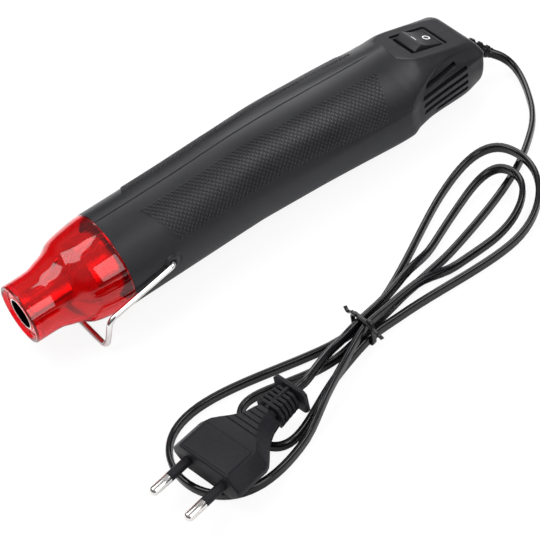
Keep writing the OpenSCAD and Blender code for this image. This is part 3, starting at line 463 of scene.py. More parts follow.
# the outlet tube is coloured near-black inside its bore and left bright metal on its rim
boreBlack = {"radius": 6.56, "colour": (0.006, 0.006, 0.006, 1)}
blackBoreTube = finished("blackBoreTube", workedMetal, (0.78, 0.77, 0.75), (0.50, 0.46, 0.42), 900,
                      0.16, 0.34, 0.1, Metallic=1.0)
tree = blackBoreTube.node_tree
apart = addNode(tree, "SeparateXYZ", Vector=addNode(tree, "TexCoord").outputs["Object"])
above = mathNode(tree, "SUBTRACT", apart.outputs["Z"], tool["axisHeight"] * mm)
squares = [mathNode(tree, "MULTIPLY", socket, socket) for socket in (apart.outputs["Y"], above)]
radius = mathNode(tree, "SQRT", mathNode(tree, "ADD", *squares))
# everything within the bore's radius gets the near-black colour in place of the metal's own
inside = mathNode(tree, "LESS_THAN", radius, boreBlack["radius"] * mm)
shader = tree.nodes["Principled BSDF"]
bright = shader.inputs["Base Color"].links[0].from_socket
tree.links.new(mixColours(tree, inside, bright, boreBlack["colour"]), shader.inputs["Base Color"])
for part in frame["record"]["subparts"]:
    node = frame["nodes"][part["node"]]
    node.data.materials.clear()
    node.data.materials.append(blackBoreTube if part["node"] == "heater_tube" else finishOf[part["material_slot"]])
cordPiece.data.materials.append(rubberCord)
print("finishes made")

# the shells' skin along the barrel: height of the top, depth of the belly, half width, squareness above and below
skin = {"top": [[42.5, 21.25], [79.5, 21.35], [110.5, 22.25], [134, 21.75], [160, 20.15], [188, 18.45], [192, 18.35],
                [198, 20], [210, 16.1], [222, 10.6], [232, 6.6]],
        "belly": [[42.5, 21.25], [92.5, 21.25], [100.5, 21.25], [120, 21.8], [140, 22.2], [160, 22.4], [187, 22.4],
                  [200, 21.6], [220, 21.2], [232, 19.6]],
        "side": [[42.5, 21.25], [102.5, 21.25], [110.5, 21.25], [130, 22.1], [150, 22.8], [173, 23.6], [187, 24],
                 [200, 22.9], [210, 22.2], [220, 21.6], [232, 19.9]],
        "square": [[42.5, 2], [102.5, 2], [110.5, 2], [140, 2.2], [160, 2.55], [187, 3.2], [200, 2.9], [220, 3.3],
                   [232, 3.3]],
        "crown": [[42.5, 2], [122, 2], [130, 2], [160, 1.77], [186, 1.5], [191.5, 1.5], [197, 1.44], [232, 1.4]],
        "ridge": [(192, -26), (188, -18), (185.2, -9), (184.9, -1), (186.8, 2.6), (190.4, 4.9), (195.6, 6.2),
                  (200, 7.3), (204.9, 8.1), (210, 8.0), (216.6, 7.0), (228.3, 3.8), (238, 1.0)],
        "ridgeFrom": 184, "ridgeDepth": 1.3, "ridgeShare": [[190, 1.0], [198, 0.72], [206, 0.4], [240, 0.34]],
        "ridgeWidth": [[184, 9.0], [192, 5.0], [200, 1.3], [240, 1.2]], "edgeRadius": 0.3,
        "seam": 0.1, "seamRound": 0.4, "deckFront": 191.6, "deckCorner": 5.0, "deckHalf": 12.3, "deckStep": 0.7,
        "deckLead": 1.5}


def deckZ(s):
    return tool["deckHeight"] - math.tan(math.radians(tool["deckAngle"])) * (s - tool["deckAt"])


def behindRidge(s, z):
    # how far a side point lies behind the ridge that frames the air slots
    nearest = None
    for (s0, z0), (s1, z1) in zip(skin["ridge"], skin["ridge"][1:]):
        ds, dz = s1 - s0, z1 - z0
        u = min(1.0, max(0.0, ((s - s0) * ds + (z - z0) * dz) / (ds * ds + dz * dz)))
        away = math.hypot(s - s0 - u * ds, z - z0 - u * dz)
        if nearest is None or away < nearest[0]:
            nearest = (away, dz * (s - s0) - ds * (z - z0))
    return nearest[0] if nearest[1] > 0 else 0.0


def skinPoint(s, angle, inset=0.0):
    # a point of the outer skin on the +Y side, at an angle above the horizontal
    c, n = max(0.0, math.cos(math.radians(angle))), math.sin(math.radians(angle))
    past = s - (tool["length"] - tool["rearRound"])
    roundOff = tool["rearRound"] - math.sqrt(max(0.0, tool["rearRound"] ** 2 - past * past)) if past > 0 else 0.0
    trim = inset + roundOff
    e = follow(skin["crown" if n >= 0 else "square"], s)
    y = (follow(skin["side"], s) - trim) * c ** (2 / e)
    z = (follow(skin["top" if n >= 0 else "belly"], s) - trim) * math.copysign(abs(n) ** (2 / e), n)
    if s > skin["ridgeFrom"] and y > 1:
        d = behindRidge(s, z)
        share = follow(skin["ridgeShare"], s)
        steep = share * math.sin(math.pi / 2 * min(1.0, d / follow(skin["ridgeWidth"], s)))
        gentle = smoothStep((d - 1) / 6) * (1 - share)
        y -= skin["ridgeDepth"] * (steep + gentle) * smoothStep((y - 1) / 4)
    corner = skin["deckCorner"]
    aside = min(corner, max(0.0, abs(y) - skin["deckHalf"] + corner))
    front = skin["deckFront"] + corner - math.sqrt(corner ** 2 - aside ** 2) - (skin["deckLead"] if inset else 0)
    gap = z - deckZ(s) + trim
    soft = skin["edgeRadius"]
    if gap > -4 * soft:
        z -= soft * math.log1p(math.exp(min(30.0, gap / soft))) * smoothStep((s - front) / skin["deckStep"])
    return Vector((s, y, z))


def halfGrid(rows, angles, inset, seamY):
    # a closed half body from rings of skin points; seamY is where it is closed off
    bm = bmesh.new()
    rings = []
    for s in rows:
        ring = []
        for k, angle in enumerate(angles):
            p = skinPoint(s, angle, inset)
            edge = k in (0, len(angles) - 1)
            y = seamY if edge else max(p.y, seamY + 0.01)
            if inset == 0 and deckZ(s) > p.z + 0.5:
                near = max(0.0, 1 - (y - seamY) / skin["seamRound"])
                p.z -= math.copysign(skin["seamRound"] * (1 - math.sqrt(max(0.0, 1 - near * near))), p.z)
            ring.append(bm.verts.new(at(s, y, p.z)))
        rings.append(ring)
    joinRings(bm, rings)
    faceOutwards(bm)
    return bm


def cutAway(piece, cutters):
    # takes each cutter out of the piece for good
    for cutter in cutters:
        cut = piece.modifiers.new("cut", "BOOLEAN")
        cut.operation = "DIFFERENCE"
        cut.solver = "EXACT"
        cut.object = cutter
        depsgraph = bpy.context.evaluated_depsgraph_get()
        solid = bpy.data.meshes.new_from_object(piece.evaluated_get(depsgraph))
        piece.modifiers.clear()
        piece.data = solid
    for cutter in cutters:
        bpy.data.objects.remove(cutter)


def boxCutter(name, sizes, place, degrees, axis, corner=0):
    # a block, its upright edges rounded, turned about an axis and set in its place
    bm = bmesh.new()
    bmesh.ops.create_cube(bm, size=1)
    bmesh.ops.scale(bm, vec=Vector(sizes) * mm, verts=bm.verts)
    if corner:
        roundEdges(bm, [e for e in bm.edges if (e.verts[0].co - e.verts[1].co).xy.length < 1e-9], corner, 4)
    bmesh.ops.rotate(bm, verts=bm.verts, matrix=Matrix.Rotation(math.radians(degrees), 3, axis))
    bmesh.ops.translate(bm, verts=bm.verts, vec=place)
    return looseObject(name, bm)


def drumCutter(name, centre, radius, depth, axis="Y"):
    bm = bmesh.new()
    bmesh.ops.create_cone(bm, cap_ends=True, segments=48, radius1=radius * mm, radius2=radius * mm, depth=depth * mm)
    turn = Matrix.Rotation(math.pi / 2, 3, "Y") if axis == "X" else Matrix.Rotation(-math.pi / 2, 3, "X")
    bmesh.ops.rotate(bm, verts=bm.verts, matrix=turn)
    bmesh.ops.translate(bm, verts=bm.verts, vec=centre)
    return looseObject(name, bm)


vents = {"count": 5, "height": 1.9, "pitch": 3.85, "top": 4.5, "front": 192.5, "rear": 219.5, "slant": 1.1,
         "corner": 0.55, "firstInset": (3.5, 4.5), "lastInset": 7.5}
deckHole = {"size": (20.4, 16.6, 16), "corner": 1.2}
pivot = {"s": 61.0, "recess": 4.7, "middle": 24.3, "depth": 6.5}
cordHole = {"height": -7.5, "radius": 3.1, "depth": 12}


def ventCutter(i, side):
    # a slot with a slanted, rounded front end
    front = vents["front"] + {0: vents["firstInset"][0], vents["count"] - 1: vents["lastInset"]}.get(i, 0)
    rear = vents["rear"] - (vents["firstInset"][1] if i == 0 else 0)
    z = vents["top"] - i * vents["pitch"]
    h = vents["height"] / 2
    bm = bmesh.new()
    outline = [(front + vents["slant"], z + h), (rear, z + h), (rear, z - h), (front, z - h)]
    face = bm.faces.new([bm.verts.new(at(s, side * 8, height)) for s, height in outline])
    made = bmesh.ops.extrude_face_region(bm, geom=[face])
    moved = [v for v in made["geom"] if isinstance(v, bmesh.types.BMVert)]
    bmesh.ops.translate(bm, verts=moved, vec=(0, side * 16 * mm, 0))
    roundEdges(bm, [e for e in bm.edges if abs(e.verts[0].co.y - e.verts[1].co.y) > 1e-6], vents["corner"], 3)
    faceOutwards(bm)
    return looseObject("ventCutter", bm)


seamAngles = [0, 0.12, 0.35, 0.7, 1.15, 1.8]
middleAngles = [90 - 1.8 - (176.4 * k / 138) for k in range(1, 138)]
fineAngles = [90 - a for a in seamAngles] + middleAngles + [-90 + a for a in reversed(seamAngles)]
plainAngles = [90 - 180 * k / 48 for k in range(49)]
# rings of the mesh, closest together at the rear and at the step in front of the switch deck
fineRows = [42.5, 42.62, 42.9] + [43.5 + 140 * k / 52 for k in range(53)]
fineRows += [183.5 + 44.5 * k / 112 for k in range(1, 113)]
fineRows = sorted(fineRows + [191.2 + 0.1 * k for k in range(1, 14)])
fineRows += [228 + 4 * f for f in (0.25, 0.45, 0.62, 0.76, 0.87, 0.95, 1.0)]
plainRows = [40] + [42.5 + 187.3 * k / 60 for k in range(61)]
for side, name, node in ((-1, "nearShell", "right_shell"), (1, "farShell", "left_shell")):
    shell = looseObject(name, halfGrid(fineRows, fineAngles, 0.0, skin["seam"] / 2))
    hollow = looseObject("hollow", halfGrid(plainRows, plainAngles, tool["wall"], -3.0))
    if side < 0:
        for item in (shell, hollow):
            item.data.transform(Matrix.Diagonal((1, -1, 1, 1)))
            item.data.flip_normals()
    pivotMiddle = at(pivot["s"], side * pivot["middle"], 0)
    cutters = [hollow, boxCutter("switchHole", deckHole["size"], at(tool["deckAt"], 0, tool["deckHeight"]),
                                 tool["deckAngle"], "Y", deckHole["corner"]),
               drumCutter("pivotHole", pivotMiddle, pivot["recess"], pivot["depth"]),
               drumCutter("cordHole", at(tool["length"], 0, cordHole["height"]), cordHole["radius"],
                          cordHole["depth"], "X")]
    cutters += [ventCutter(i, side) for i in range(vents["count"])]
    cutAway(shell, cutters)
    surfaced(shell, plasticBlack, 32)
    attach(shell, "body")
    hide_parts(node)
    print(name, len(shell.data.polygons), "faces")

# the knurled grip: small raised diamonds laid on the skin inside a slanted panel
knurl = {"pitch": 2.2, "gap": 0.5, "rise": 0.42, "sunk": -0.12, "top": 0.58, "smallest": 0.45, "arc": 0.377,
         "from": (58, 2), "span": (125, 26), "front": [(60, 72), (67.5, 19.5)], "rear": [(180, 63), (172.5, 7.5)],
         "upper": [(60, 72), (115, 69), (180, 63)], "lower": [(67.5, 19.5), (122.5, 20), (172.5, 7.5)]}


def keepSide(shape, a, b, keepLeft):
    # trims a flat shape by the line through a and b
    out = []
    sign = 1 if keepLeft else -1

    def away(p):
        return sign * ((b[0] - a[0]) * (p[1] - a[1]) - (b[1] - a[1]) * (p[0] - a[0]))

    for p, q in zip(shape, shape[1:] + shape[:1]):
        dp, dq = away(p), away(q)
        if dp >= 0:
            out.append(p)
        if (dp > 0) != (dq > 0) and abs(dp - dq) > 1e-9:
            t = dp / (dp - dq)
            out.append((p[0] + (q[0] - p[0]) * t, p[1] + (q[1] - p[1]) * t))
    return out


def gripPoint(s, arc, lift, side):
    # arc is millimetres round the skin above the horizontal
    angle = arc / knurl["arc"]
    p = skinPoint(s, angle)
    turn = math.radians(angle)
    return at(s, side * (p.y + lift * math.cos(turn)), p.z + lift * math.sin(turn))


gripEdges = {edge: [(s, angle * knurl["arc"]) for s, angle in knurl[edge]]
             for edge in ("front", "rear", "upper", "lower")}
half = knurl["pitch"] / 2
reach = half - knurl["gap"] / 2
for side in (-1, 1):
    bm = bmesh.new()
    for i in range(int(knurl["span"][0] / half)):
        for j in range(int(knurl["span"][1] / half)):
            if (i + j) % 2:
                continue
            cs, ca = knurl["from"][0] + i * half, knurl["from"][1] + j * half
            shape = [(cs - reach, ca), (cs, ca - reach), (cs + reach, ca), (cs, ca + reach)]
            for edge, keepLeft in (("front", True), ("rear", False), ("lower", True), ("upper", False)):
                line = gripEdges[edge]
                a, b = line[:2] if cs < line[1][0] or len(line) == 2 else line[1:]
                shape = keepSide(shape, a, b, keepLeft) if shape else []
            if len(shape) < 3:
                continue
            ms, ma = sum(p[0] for p in shape) / len(shape), sum(p[1] for p in shape) / len(shape)
            if max(math.hypot(p[0] - ms, p[1] - ma) for p in shape) < knurl["smallest"]:
                continue
            base = [bm.verts.new(gripPoint(s, a, knurl["sunk"], side)) for s, a in shape]
            t = knurl["top"]
            top = [bm.verts.new(gripPoint(ms + (s - ms) * t, ma + (a - ma) * t, knurl["rise"], side)) for s, a in shape]
            joinRings(bm, [base, top])
    faceOutwards(bm)
    grip = newPiece("nearGrip" if side < 0 else "farGrip", bm, "body", plasticGrip, 25)
    print(grip.name, len(grip.data.polygons), "faces")

# the clear red guard: one turned wall with a rim, a sunk face round the outlet and a step inside
guard = {"rim": 13.2, "rear": 21.2, "wall": 1.8, "outlet": 7.25, "end": 42.4, "lap": 36.5, "face": 1.5, "floor": 3.1,
         "mouth": [(1.5, 10.9), (0.0, 11.7), (0.0, 12.9)],
         "line": [[0, 0], [0.28, 0.02], [0.38, 0.17], [0.48, 0.34], [0.59, 0.68], [0.77, 0.88], [1, 1]]}


def guardRadius(s):
    f = follow([[a * tool["guardLength"], b] for a, b in guard["line"]], s)
    return guard["rim"] + f * (guard["rear"] - guard["rim"])


def spunPiece(profile, place, centre, axis, steps):
    # turns a closed profile right round an axis; place gives the position of a profile point
    bm = bmesh.new()
    verts = [bm.verts.new(place(*point)) for point in profile]
    edges = [bm.edges.new((verts[i], verts[(i + 1) % len(verts)])) for i in range(len(verts))]
    bmesh.ops.spin(bm, geom=verts + edges, cent=centre, axis=axis, angle=2 * math.pi, steps=steps, use_merge=True)
    bmesh.ops.remove_doubles(bm, verts=bm.verts, dist=1e-6)
    faceOutwards(bm)
    return bm


def roundedProfile(points, radius=0.35, steps=3):
    # softens the corners of a closed profile
    out = []
    n = len(points)
    for i in range(n):
        p, a, b = Vector(points[i]), Vector(points[i - 1]), Vector(points[(i + 1) % n])
        before, after = a - p, b - p
        if before.angle(after) > math.radians(155):
            out.append(tuple(p))
            continue
        reach = min(radius, before.length * 0.45, after.length * 0.45)
        start, end = p + before.normalized() * reach, p + after.normalized() * reach
        for k in range(steps + 1):
            t = k / steps
            out.append(tuple(start * (1 - t) ** 2 + p * 2 * t * (1 - t) + end * t * t))
    return out


outer = [(s, guardRadius(s)) for s in (2 + 40.3 * k / 44 for k in range(45))]
lap = guardRadius(guard["lap"]) - guard["wall"]
inner = [(s, min(lap, guardRadius(s - 0.4) - guard["wall"])) for s in (35 - 31 * k / 24 for k in range(25))]
profile = [(0.5, guard["rim"])] + outer + [(guard["end"], 21.15), (guard["end"], lap), (guard["lap"], lap)] + inner
profile += [(guard["floor"], guard["rim"] - guard["wall"] - 0.2), (guard["floor"], guard["outlet"]),
            (guard["face"], guard["outlet"])] + guard["mouth"]
turned = spunPiece(roundedProfile(profile), lambda s, r: at(s, 0, r), at(0, 0, 0), (1, 0, 0), 96)
guardPiece = newPiece("nozzleGuard", turned, "body", clearRed, 50)
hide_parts("nozzle_guard")
print("guard made")

# the wire rest: one chromed wire bent round its corners
wire = {"radius": 1.2, "arm": 22.9, "foot": 22.8, "footRise": 4.5, "knee": 0.36, "drop": 19.5, "inside": 17.6,
        "bends": (2.2, 5, 4), "sides": 20}
collar = [(19.2, 1.32), (21.2, 1.32), (21.9, 1.9), (21.9, 2.7), (21.2, 3.85), (19.2, 3.95)]  # out to the side, radius


def bentPath(points, radii, steps=9):
    out = [points[0]]
    for i in range(1, len(points) - 1):
        before, after = (points[i] - points[i - 1]).normalized(), (points[i + 1] - points[i]).normalized()
        angle = before.angle(after)
        aside = before.cross(after).cross(before).normalized()
        start = points[i] - before * radii[i] * math.tan(angle / 2)
        for k in range(steps + 1):
            b = angle * k / steps
            out.append(start + aside * radii[i] * (1 - math.cos(b)) + before * radii[i] * math.sin(b))
    return out + [points[-1]]


arm, foot, drop = wire["arm"], wire["foot"], wire["drop"]
nearHalf = [(pivot["s"], -wire["inside"], 0), (pivot["s"], -arm, 0),
            (foot + wire["footRise"], -arm, -drop * wire["knee"]), (foot, -arm, -drop)]
corners = [Vector(p) for p in nearHalf + [(s, -y, z) for s, y, z in reversed(nearHalf)]]
line = bentPath(corners, (0, *wire["bends"], *reversed(wire["bends"]), 0))
bm = bmesh.new()
rings = []
aside = Vector((0, 0, 1))
for point, heading in zip(line, unitTurns(line)):
    aside = (aside - heading * aside.dot(heading)).normalized()
    up = heading.cross(aside)
    rings.append([bm.verts.new(at(*(point + (aside * math.cos(a) + up * math.sin(a)) * wire["radius"])))
                  for a in circle(wire["sides"])])
joinRings(bm, rings)
faceOutwards(bm)
wirePiece = newPiece("wireRest", bm, "stand", chromeWire, 60)
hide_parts("wire_stand")

# round black collars where the wire enters the shells
for side in (-1, 1):
    turned = spunPiece(roundedProfile(collar), lambda y, r: at(pivot["s"] + r, side * y, 0), at(pivot["s"], 0, 0),
                       (0, 1, 0), 40)
    newPiece("nearPivotCollar" if side < 0 else "farPivotCollar", turned, "body", plasticSwitch, 35)
print("wire rest made")


def onDeck(x, y, z):
    # millimetres down the switch deck, across it and above it
    a = math.radians(tool["deckAngle"])
    return at(tool["deckAt"] + x * math.cos(a) + z * math.sin(a), y,
              tool["deckHeight"] - x * math.sin(a) + z * math.cos(a))


def plateWithHole(bm, outline, hole, z0, z1, place):
    # a frame between two heights; outline and hole are loops of the same number of points
    levels = ((outline, z0), (outline, z1), (hole, z1), (hole, z0))
    loops = [[bm.verts.new(place(x, y, z)) for x, y in loop] for loop, z in levels]
    joinRings(bm, loops + [loops[0]], False)


def roundedBox(length, width, radius, steps=5):
    out = []
    for cx, cy, start in ((1, 1, 0), (-1, 1, 90), (-1, -1, 180), (1, -1, 270)):
        for k in range(steps + 1):
            a = math.radians(start + 90 * k / steps)
            out.append((cx * (length / 2 - radius) + radius * math.cos(a),
                        cy * (width / 2 - radius) + radius * math.sin(a)))
    return out


# the switch: a frame sunk in the deck, and a rocker with a raised front half
switch = {"frame": (19.9, 16.1), "box": (19.4, 15.7), "well": (17.6, 13.9), "floor": (17.7, 14.0), "lip": (-0.9, -1.5),
          "bottom": -11.9, "floorAt": -9, "rocker": (15.3, 13.0), "pinDrop": 3.5, "tilt": 11.0}
bm = bmesh.new()
well = roundedBox(*switch["well"], 0.7)
plateWithHole(bm, roundedBox(*switch["frame"], 1.1), well, switch["lip"][1], switch["lip"][0], onDeck)
plateWithHole(bm, roundedBox(*switch["box"], 1.0), well, switch["bottom"], switch["lip"][1], onDeck)
bm.faces.new([bm.verts.new(onDeck(x, y, switch["floorAt"])) for x, y in roundedBox(*switch["floor"], 0.7)])
faceOutwards(bm)
roundEdges(bm, [e for e in sharpEdges(bm, 1.2) if e.is_manifold and e.calc_length() < 20 * mm], 0.18, 2)
framePiece = newPiece("switchFrame", bm, "body", plasticSwitch, 40)
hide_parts("switch_housing")


def onRocker(x, y, z):
    # the rocker's own frame: along it, across it, above its pin
    a = math.radians(tool["deckAngle"] + switch["tilt"])
    pin = onDeck(0, 0, -switch["pinDrop"])
    return pin + Vector((x * math.cos(a) + z * math.sin(a), y, -x * math.sin(a) + z * math.cos(a))) * mm


halfLength, halfWidth = switch["rocker"][0] / 2, switch["rocker"][1] / 2
outline = [(-halfLength, 1.5), (-halfLength + 0.3, 0.5), (-halfLength + 3, -2), (-1.6, -3.2), (1.6, -3.2),
           (halfLength - 3, -2), (halfLength - 0.3, 0.5), (halfLength, 4.2)]
crown = [(halfLength - 0.3, 4.42), (4.6, 4.24), (2.0, 4.06), (0.0, 3.98), (-2.0, 4.12), (-5.2, 4.72)]
bm = bmesh.new()
sides = [[bm.verts.new(onRocker(x, y, z)) for x, z in outline + crown] for y in (-halfWidth, halfWidth)]
joinRings(bm, sides)
faceOutwards(bm)
roundEdges(bm, sharpEdges(bm, 0.5), 0.3, 3)
rockerPiece = newPiece("switchRocker", bm, "rocker", plasticSwitch, 30)
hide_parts("switch_rocker")


def onCrown(x, y, z):
    # a point above the rocker's top, which dips at its middle
    low, high = next((a, b) for a, b in zip(crown[1:], crown) if a[0] <= x <= b[0])
    return onRocker(x, y, low[1] + (high[1] - low[1]) * (x - low[0]) / (high[0] - low[0]) + z)


# white marks let into the rocker: a ring on the rear half, a bar on the front half
marks = {"ring": (3.7, 3.2), "ringWall": 0.55, "ringAt": 4.0, "bar": (0.6, 3.2), "barAt": -3.7, "heights": (-0.2, 0.05)}
whiteMark = finished("whiteMark", mouldedGrain, (0.78, 0.78, 0.78), (0.88, 0.88, 0.88), 1500, 0.3, 0.4, 0.1)
bm = bmesh.new()
ringHole = [measure - 2 * marks["ringWall"] for measure in marks["ring"]]
plateWithHole(bm, roundedBox(*marks["ring"], 1.55, 8), roundedBox(*ringHole, 1.02, 8), *marks["heights"],
              lambda x, y, z: onCrown(x + marks["ringAt"], y, z))
joinRings(bm, [[bm.verts.new(onCrown(x + marks["barAt"], y, z)) for x, y in roundedBox(*marks["bar"], 0.2, 2)]
               for z in marks["heights"]])
faceOutwards(bm)
newPiece("switchMarks", bm, "rocker", whiteMark, 40)
print("switch made")

# the ribbed relief: a collar, then slanting ribs that thin out towards the cord
relief = {"points": [(116.8, 0, 15), (118.4, -0.2, 14.7), (120.8, -1.4, 13.3), (123.4, -3.1, 11.5),
                     (125.7, -4.9, 9.8), (127.8, -7, 8.3)],
          "collar": [(-6.1, 2.9), (-6.0, 4.5), (-3.5, 4.5), (-3.4, 2.9), (-0.6, 2.9), (-0.25, 2.95), (-0.2, 3.9),
                     (0.05, 4.15), (0.8, 4.15), (1.05, 3.9), (1.1, 2.95)],
          "ribsFrom": 1.2, "ribsEnd": 0.93, "period": 3.9, "rib": (2.2, 1.9),
          "section": ((2.7, 0.5, 0.85), (2.75, 0.3, 0.7)), "sides": 28}
line = splineThrough(relief["points"], 26)
length = sum((b - a).length for a, b in zip(line, line[1:]))
spokes = circle(relief["sides"])
start = line[0]
bm = bmesh.new()
rings = [[bm.verts.new((start + Vector((x, r * math.cos(a), r * math.sin(a)))) * mm) for a in spokes]
         for x, r in relief["collar"]]
gone = 0.0
for i, (point, heading) in enumerate(zip(line, unitTurns(line))):
    if i:
        gone += (point - line[i - 1]).length
    if point.x < start.x + relief["ribsFrom"]:
        continue
    f = gone / length
    side = Vector((0, 0, 1)).cross(heading).normalized()
    up = heading.cross(side)
    wave = math.sin(2 * math.pi * gone / relief["period"])
    tallest, thinning = relief["rib"]
    rib = smoothStep(0.5 + 1.6 * wave) * (tallest - thinning * f) if f < relief["ribsEnd"] else 0.0
    wide, tall = (root - less * f + rib * share for root, less, share in relief["section"])
    rings.append([bm.verts.new((point + side * wide * math.cos(a) + up * tall * math.sin(a)) * mm) for a in spokes])
joinRings(bm, rings)
faceOutwards(bm)
reliefPiece = newPiece("cordRelief", bm, "body", rubberRelief, 40)
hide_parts("cord_relief")

# the plug: a chamfered body with a sunk panel and grooved shoulders, a ribbed neck and an end flange
plugForm = {"line": [[0, 0.97, 0.93], [0.9, 1, 1], [14.5, 1, 1], [16.5, 0.96, 1], [19, 0.84, 1], [22, 0.68, 0.98],
                     [25.5, 0.53, 0.94], [29, 0.43, 0.9], [33, 0.37, 0.84]],
            "groove": (0.75, 22, 0.9), "grooveAt": 20.3, "groovePitch": 2.5, "grooveFall": 0.0115, "grooves": 5,
            "ribs": 5, "ribAt": 34.6, "ribPitch": 2.15, "ribLength": 1.35,
            "ribSection": ((6.7, 0.25), (5.5, 0.22), (2.2, 0), (0.35, 0)),
            "core": (32.6, 47, 3.5, 3.3, 1.6, 0.5), "web": (33.2, 45.6, 0.9, 5.4, 4.8, 0.08),
            "flange": (45.6, 47.4, 8.2, 6.0, 4.6, 0.28)}


def plugRing(bm, ahead, half, tall, edge=1.1, slope=0.75):
    flat = half - tall * slope
    quarter = [(half, edge), (flat, tall)]
    corners = quarter + [(-y, z) for y, z in reversed(quarter)]
    corners += [(-y, -z) for y, z in corners]
    return [bm.verts.new(onPlug(-ahead, y, z) * mm) for y, z in corners]


bm = bmesh.new()
stations = []
for a, b in zip(plugForm["line"], plugForm["line"][1:]):
    steps = 1 if b[0] < 2 or a[0] < 14 else 3
    stations += [[a[i] + (b[i] - a[i]) * k / steps for i in range(3)] for k in range(steps)]
stations.append(plugForm["line"][-1])
joinRings(bm, [plugRing(bm, x, w * plug["width"] / 2, h * plug["height"] / 2) for x, w, h in stations])
faceOutwards(bm)
# the flat panels on both faces are set in
for sign in (1, -1):
    panel = max(bm.faces, key=lambda f: (f.calc_area() if f.normal.z * sign > 0.9 else 0))
    bmesh.ops.inset_individual(bm, faces=[panel], thickness=0.7 * mm, depth=0)
    bmesh.ops.inset_individual(bm, faces=[panel], thickness=0.3 * mm, depth=-0.22 * mm)
roundEdges(bm, sharpEdges(bm, 0.45), 0.45, 3)
plugShape = newPiece("plugBody", bm, "body", plasticPlug, 30)
# grooves across the narrowing shoulder, on both faces
cutters = []
for sign in (1, -1):
    for k in range(plugForm["grooves"]):
        ahead = plugForm["grooveAt"] + plugForm["groovePitch"] * k
        tall = (1 - (ahead - 20) * plugForm["grooveFall"]) * plug["height"] / 2
        cutters.append(boxCutter("plugGroove", plugForm["groove"], onPlug(-ahead, 0, sign * tall) * mm,
                                 plug["yaw"], "Z"))
cutAway(plugShape, cutters)
surfaced(plugShape, plasticPlug, 30)

bm = bmesh.new()
bars = [plugForm["core"]]
for i in range(plugForm["ribs"]):
    x = plugForm["ribAt"] + i * plugForm["ribPitch"]
    bars.append((x, x + plugForm["ribLength"], *(first - less * i for first, less in plugForm["ribSection"])))
for x0, x1, *section in bars + [plugForm["web"], plugForm["flange"]]:
    joinRings(bm, [plugRing(bm, x, *section) for x in (x0, x1)])
faceOutwards(bm)
roundEdges(bm, sharpEdges(bm, 0.4), 0.22, 2)
neckPiece = newPiece("plugNeck", bm, "body", plasticPlug, 30)
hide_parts("plug_body")

# each pin is a rod with a domed tip, and each sleeve a tube round its root
pins = {"start": 9.9, "end": 19.0, "radius": 2.0, "chamfer": 0.1, "tip": 1.5, "sides": 32,
        "dome": [(1, 0), (0.72, 0.06), (0.42, 0.22), (0.18, 0.47), (0.04, 0.78), (0, 1)]}
sleeves = {"start": -0.6, "end": 9.95, "radius": 1.98, "chamfer": 0.12, "bore": 1.32}
rod = [(pins["start"], 0.0), (pins["start"], pins["radius"] - pins["chamfer"]),
       (pins["start"] + pins["chamfer"], pins["radius"])]
rod += [(pins["end"] - pins["tip"] * back, pins["radius"] - pins["tip"] * inwards) for back, inwards in pins["dome"]]
rod.append((pins["end"], 0.0))
tube = [(sleeves["start"], sleeves["bore"]), (sleeves["start"], sleeves["radius"]),
        (sleeves["end"] - sleeves["chamfer"], sleeves["radius"]),
        (sleeves["end"], sleeves["radius"] - sleeves["chamfer"]), (sleeves["end"], sleeves["bore"])]
for name, node, material, slotName, profile, closed in (
        ("plugPins", "plug_pins", pinMetal, "pin_metal", rod, False),
        ("pinSleeves", "pin_sleeves", plasticPlug, "black_plastic", tube, True)):
    bm = bmesh.new()
    for side in (-1, 1):
        middle = side * plug["pinPitch"] / 2
        rings = []
        for x, radius in profile:
            turns = circle(pins["sides"] if radius else 1)  # one vertex does where the profile meets the axis
            rings.append([bm.verts.new(onPlug(x, middle + radius * math.cos(a), radius * math.sin(a)) * mm)
                          for a in turns])
        joinRings(bm, rings + rings[:1] if closed else rings, False)
    faceOutwards(bm)
    piece = newPiece(name, bm, "body", material, 35)
    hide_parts(node)
print("plug made")

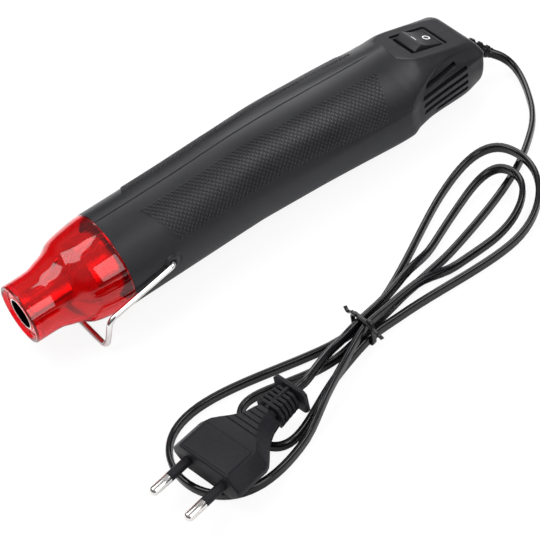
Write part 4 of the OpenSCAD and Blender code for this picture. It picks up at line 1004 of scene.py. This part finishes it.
# the tie: a thin band drawn round the waist, with two loose ends
tie = {"width": 2.1, "thick": 0.7, "corner": 2.6, "skew": 9.0, "endWidth": 1.5, "endThick": 0.6}
strands = 2 * strand + cord["thickness"] + 1.3
layers = cord["layer"] + cord["width"] + 0.7
tieTurn = Matrix.Rotation(math.atan(cord["slope"]), 3, "Z")
tieMiddle = Vector((*cord["waist"], cord["lift"] - 0.3 + layers / 2))


def onTie(x, y, z):
    return (tieMiddle + tieTurn @ Vector((x, y, z))) * mm


def tieBand(bm, around):
    # a closed band: around is the loop of (across, up) points of its inner face
    middle = [sum(p[i] for p in around) / len(around) for i in (0, 1)]
    edge = tie["width"] / 2
    section = [(-edge, 0), (-edge * 0.94, 1), (edge * 0.94, 1), (edge, 0)]
    rings = []
    for y, z in around:
        away = Vector((y - middle[0], z - middle[1])).normalized() * tie["thick"]
        lean = math.tan(math.radians(tie["skew"])) * y
        rings.append([bm.verts.new(onTie(lean + x, y + away.x * k, z + away.y * k)) for x, k in section])
    joinRings(bm, rings + [rings[0]], False)


def tieLoose(bm, points):
    # an open strip through points, each (along, across, up from the band's top)
    path = splineThrough([(x, y, layers / 2 + z) for x, y, z in points], 8)
    section = [(a * tie["endWidth"] / 2, b * tie["endThick"] / 2) for a, b in ((-1, -1), (1, -1), (1, 1), (-1, 1))]
    rings = []
    for point, heading in zip(path, unitTurns(path)):
        flat = Vector((1, 0, 0))
        flat = (flat - heading * flat.dot(heading)).normalized()
        over = heading.cross(flat)
        rings.append([bm.verts.new(onTie(*(point + flat * a + over * b))) for a, b in section])
    joinRings(bm, rings)


bm = bmesh.new()
tieBand(bm, roundedBox(strands, layers, tie["corner"], 8))
reach = strands / 2
tieLoose(bm, [(0.4, -reach + 3, 1.05), (-0.1, -reach + 0.6, 0.95), (-0.8, -reach - 0.9, -0.8),
              (-1.2, -reach - 3.6, -2.2), (-2.2, -reach - 6.4, -1.6)])
tieLoose(bm, [(-0.4, reach - 3, 1.05), (0.2, reach - 0.6, 0.95), (0.9, reach + 0.9, -0.8),
              (1.6, reach + 3.4, -2.4), (2.8, reach + 5.8, -2.2)])
faceOutwards(bm)
roundEdges(bm, sharpEdges(bm, 0.9), 0.1, 2)
tiePiece = newPiece("hankTie", bm, "body", rubberRelief, 40)
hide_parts("cord_tie")
print("tie made")

print("done")
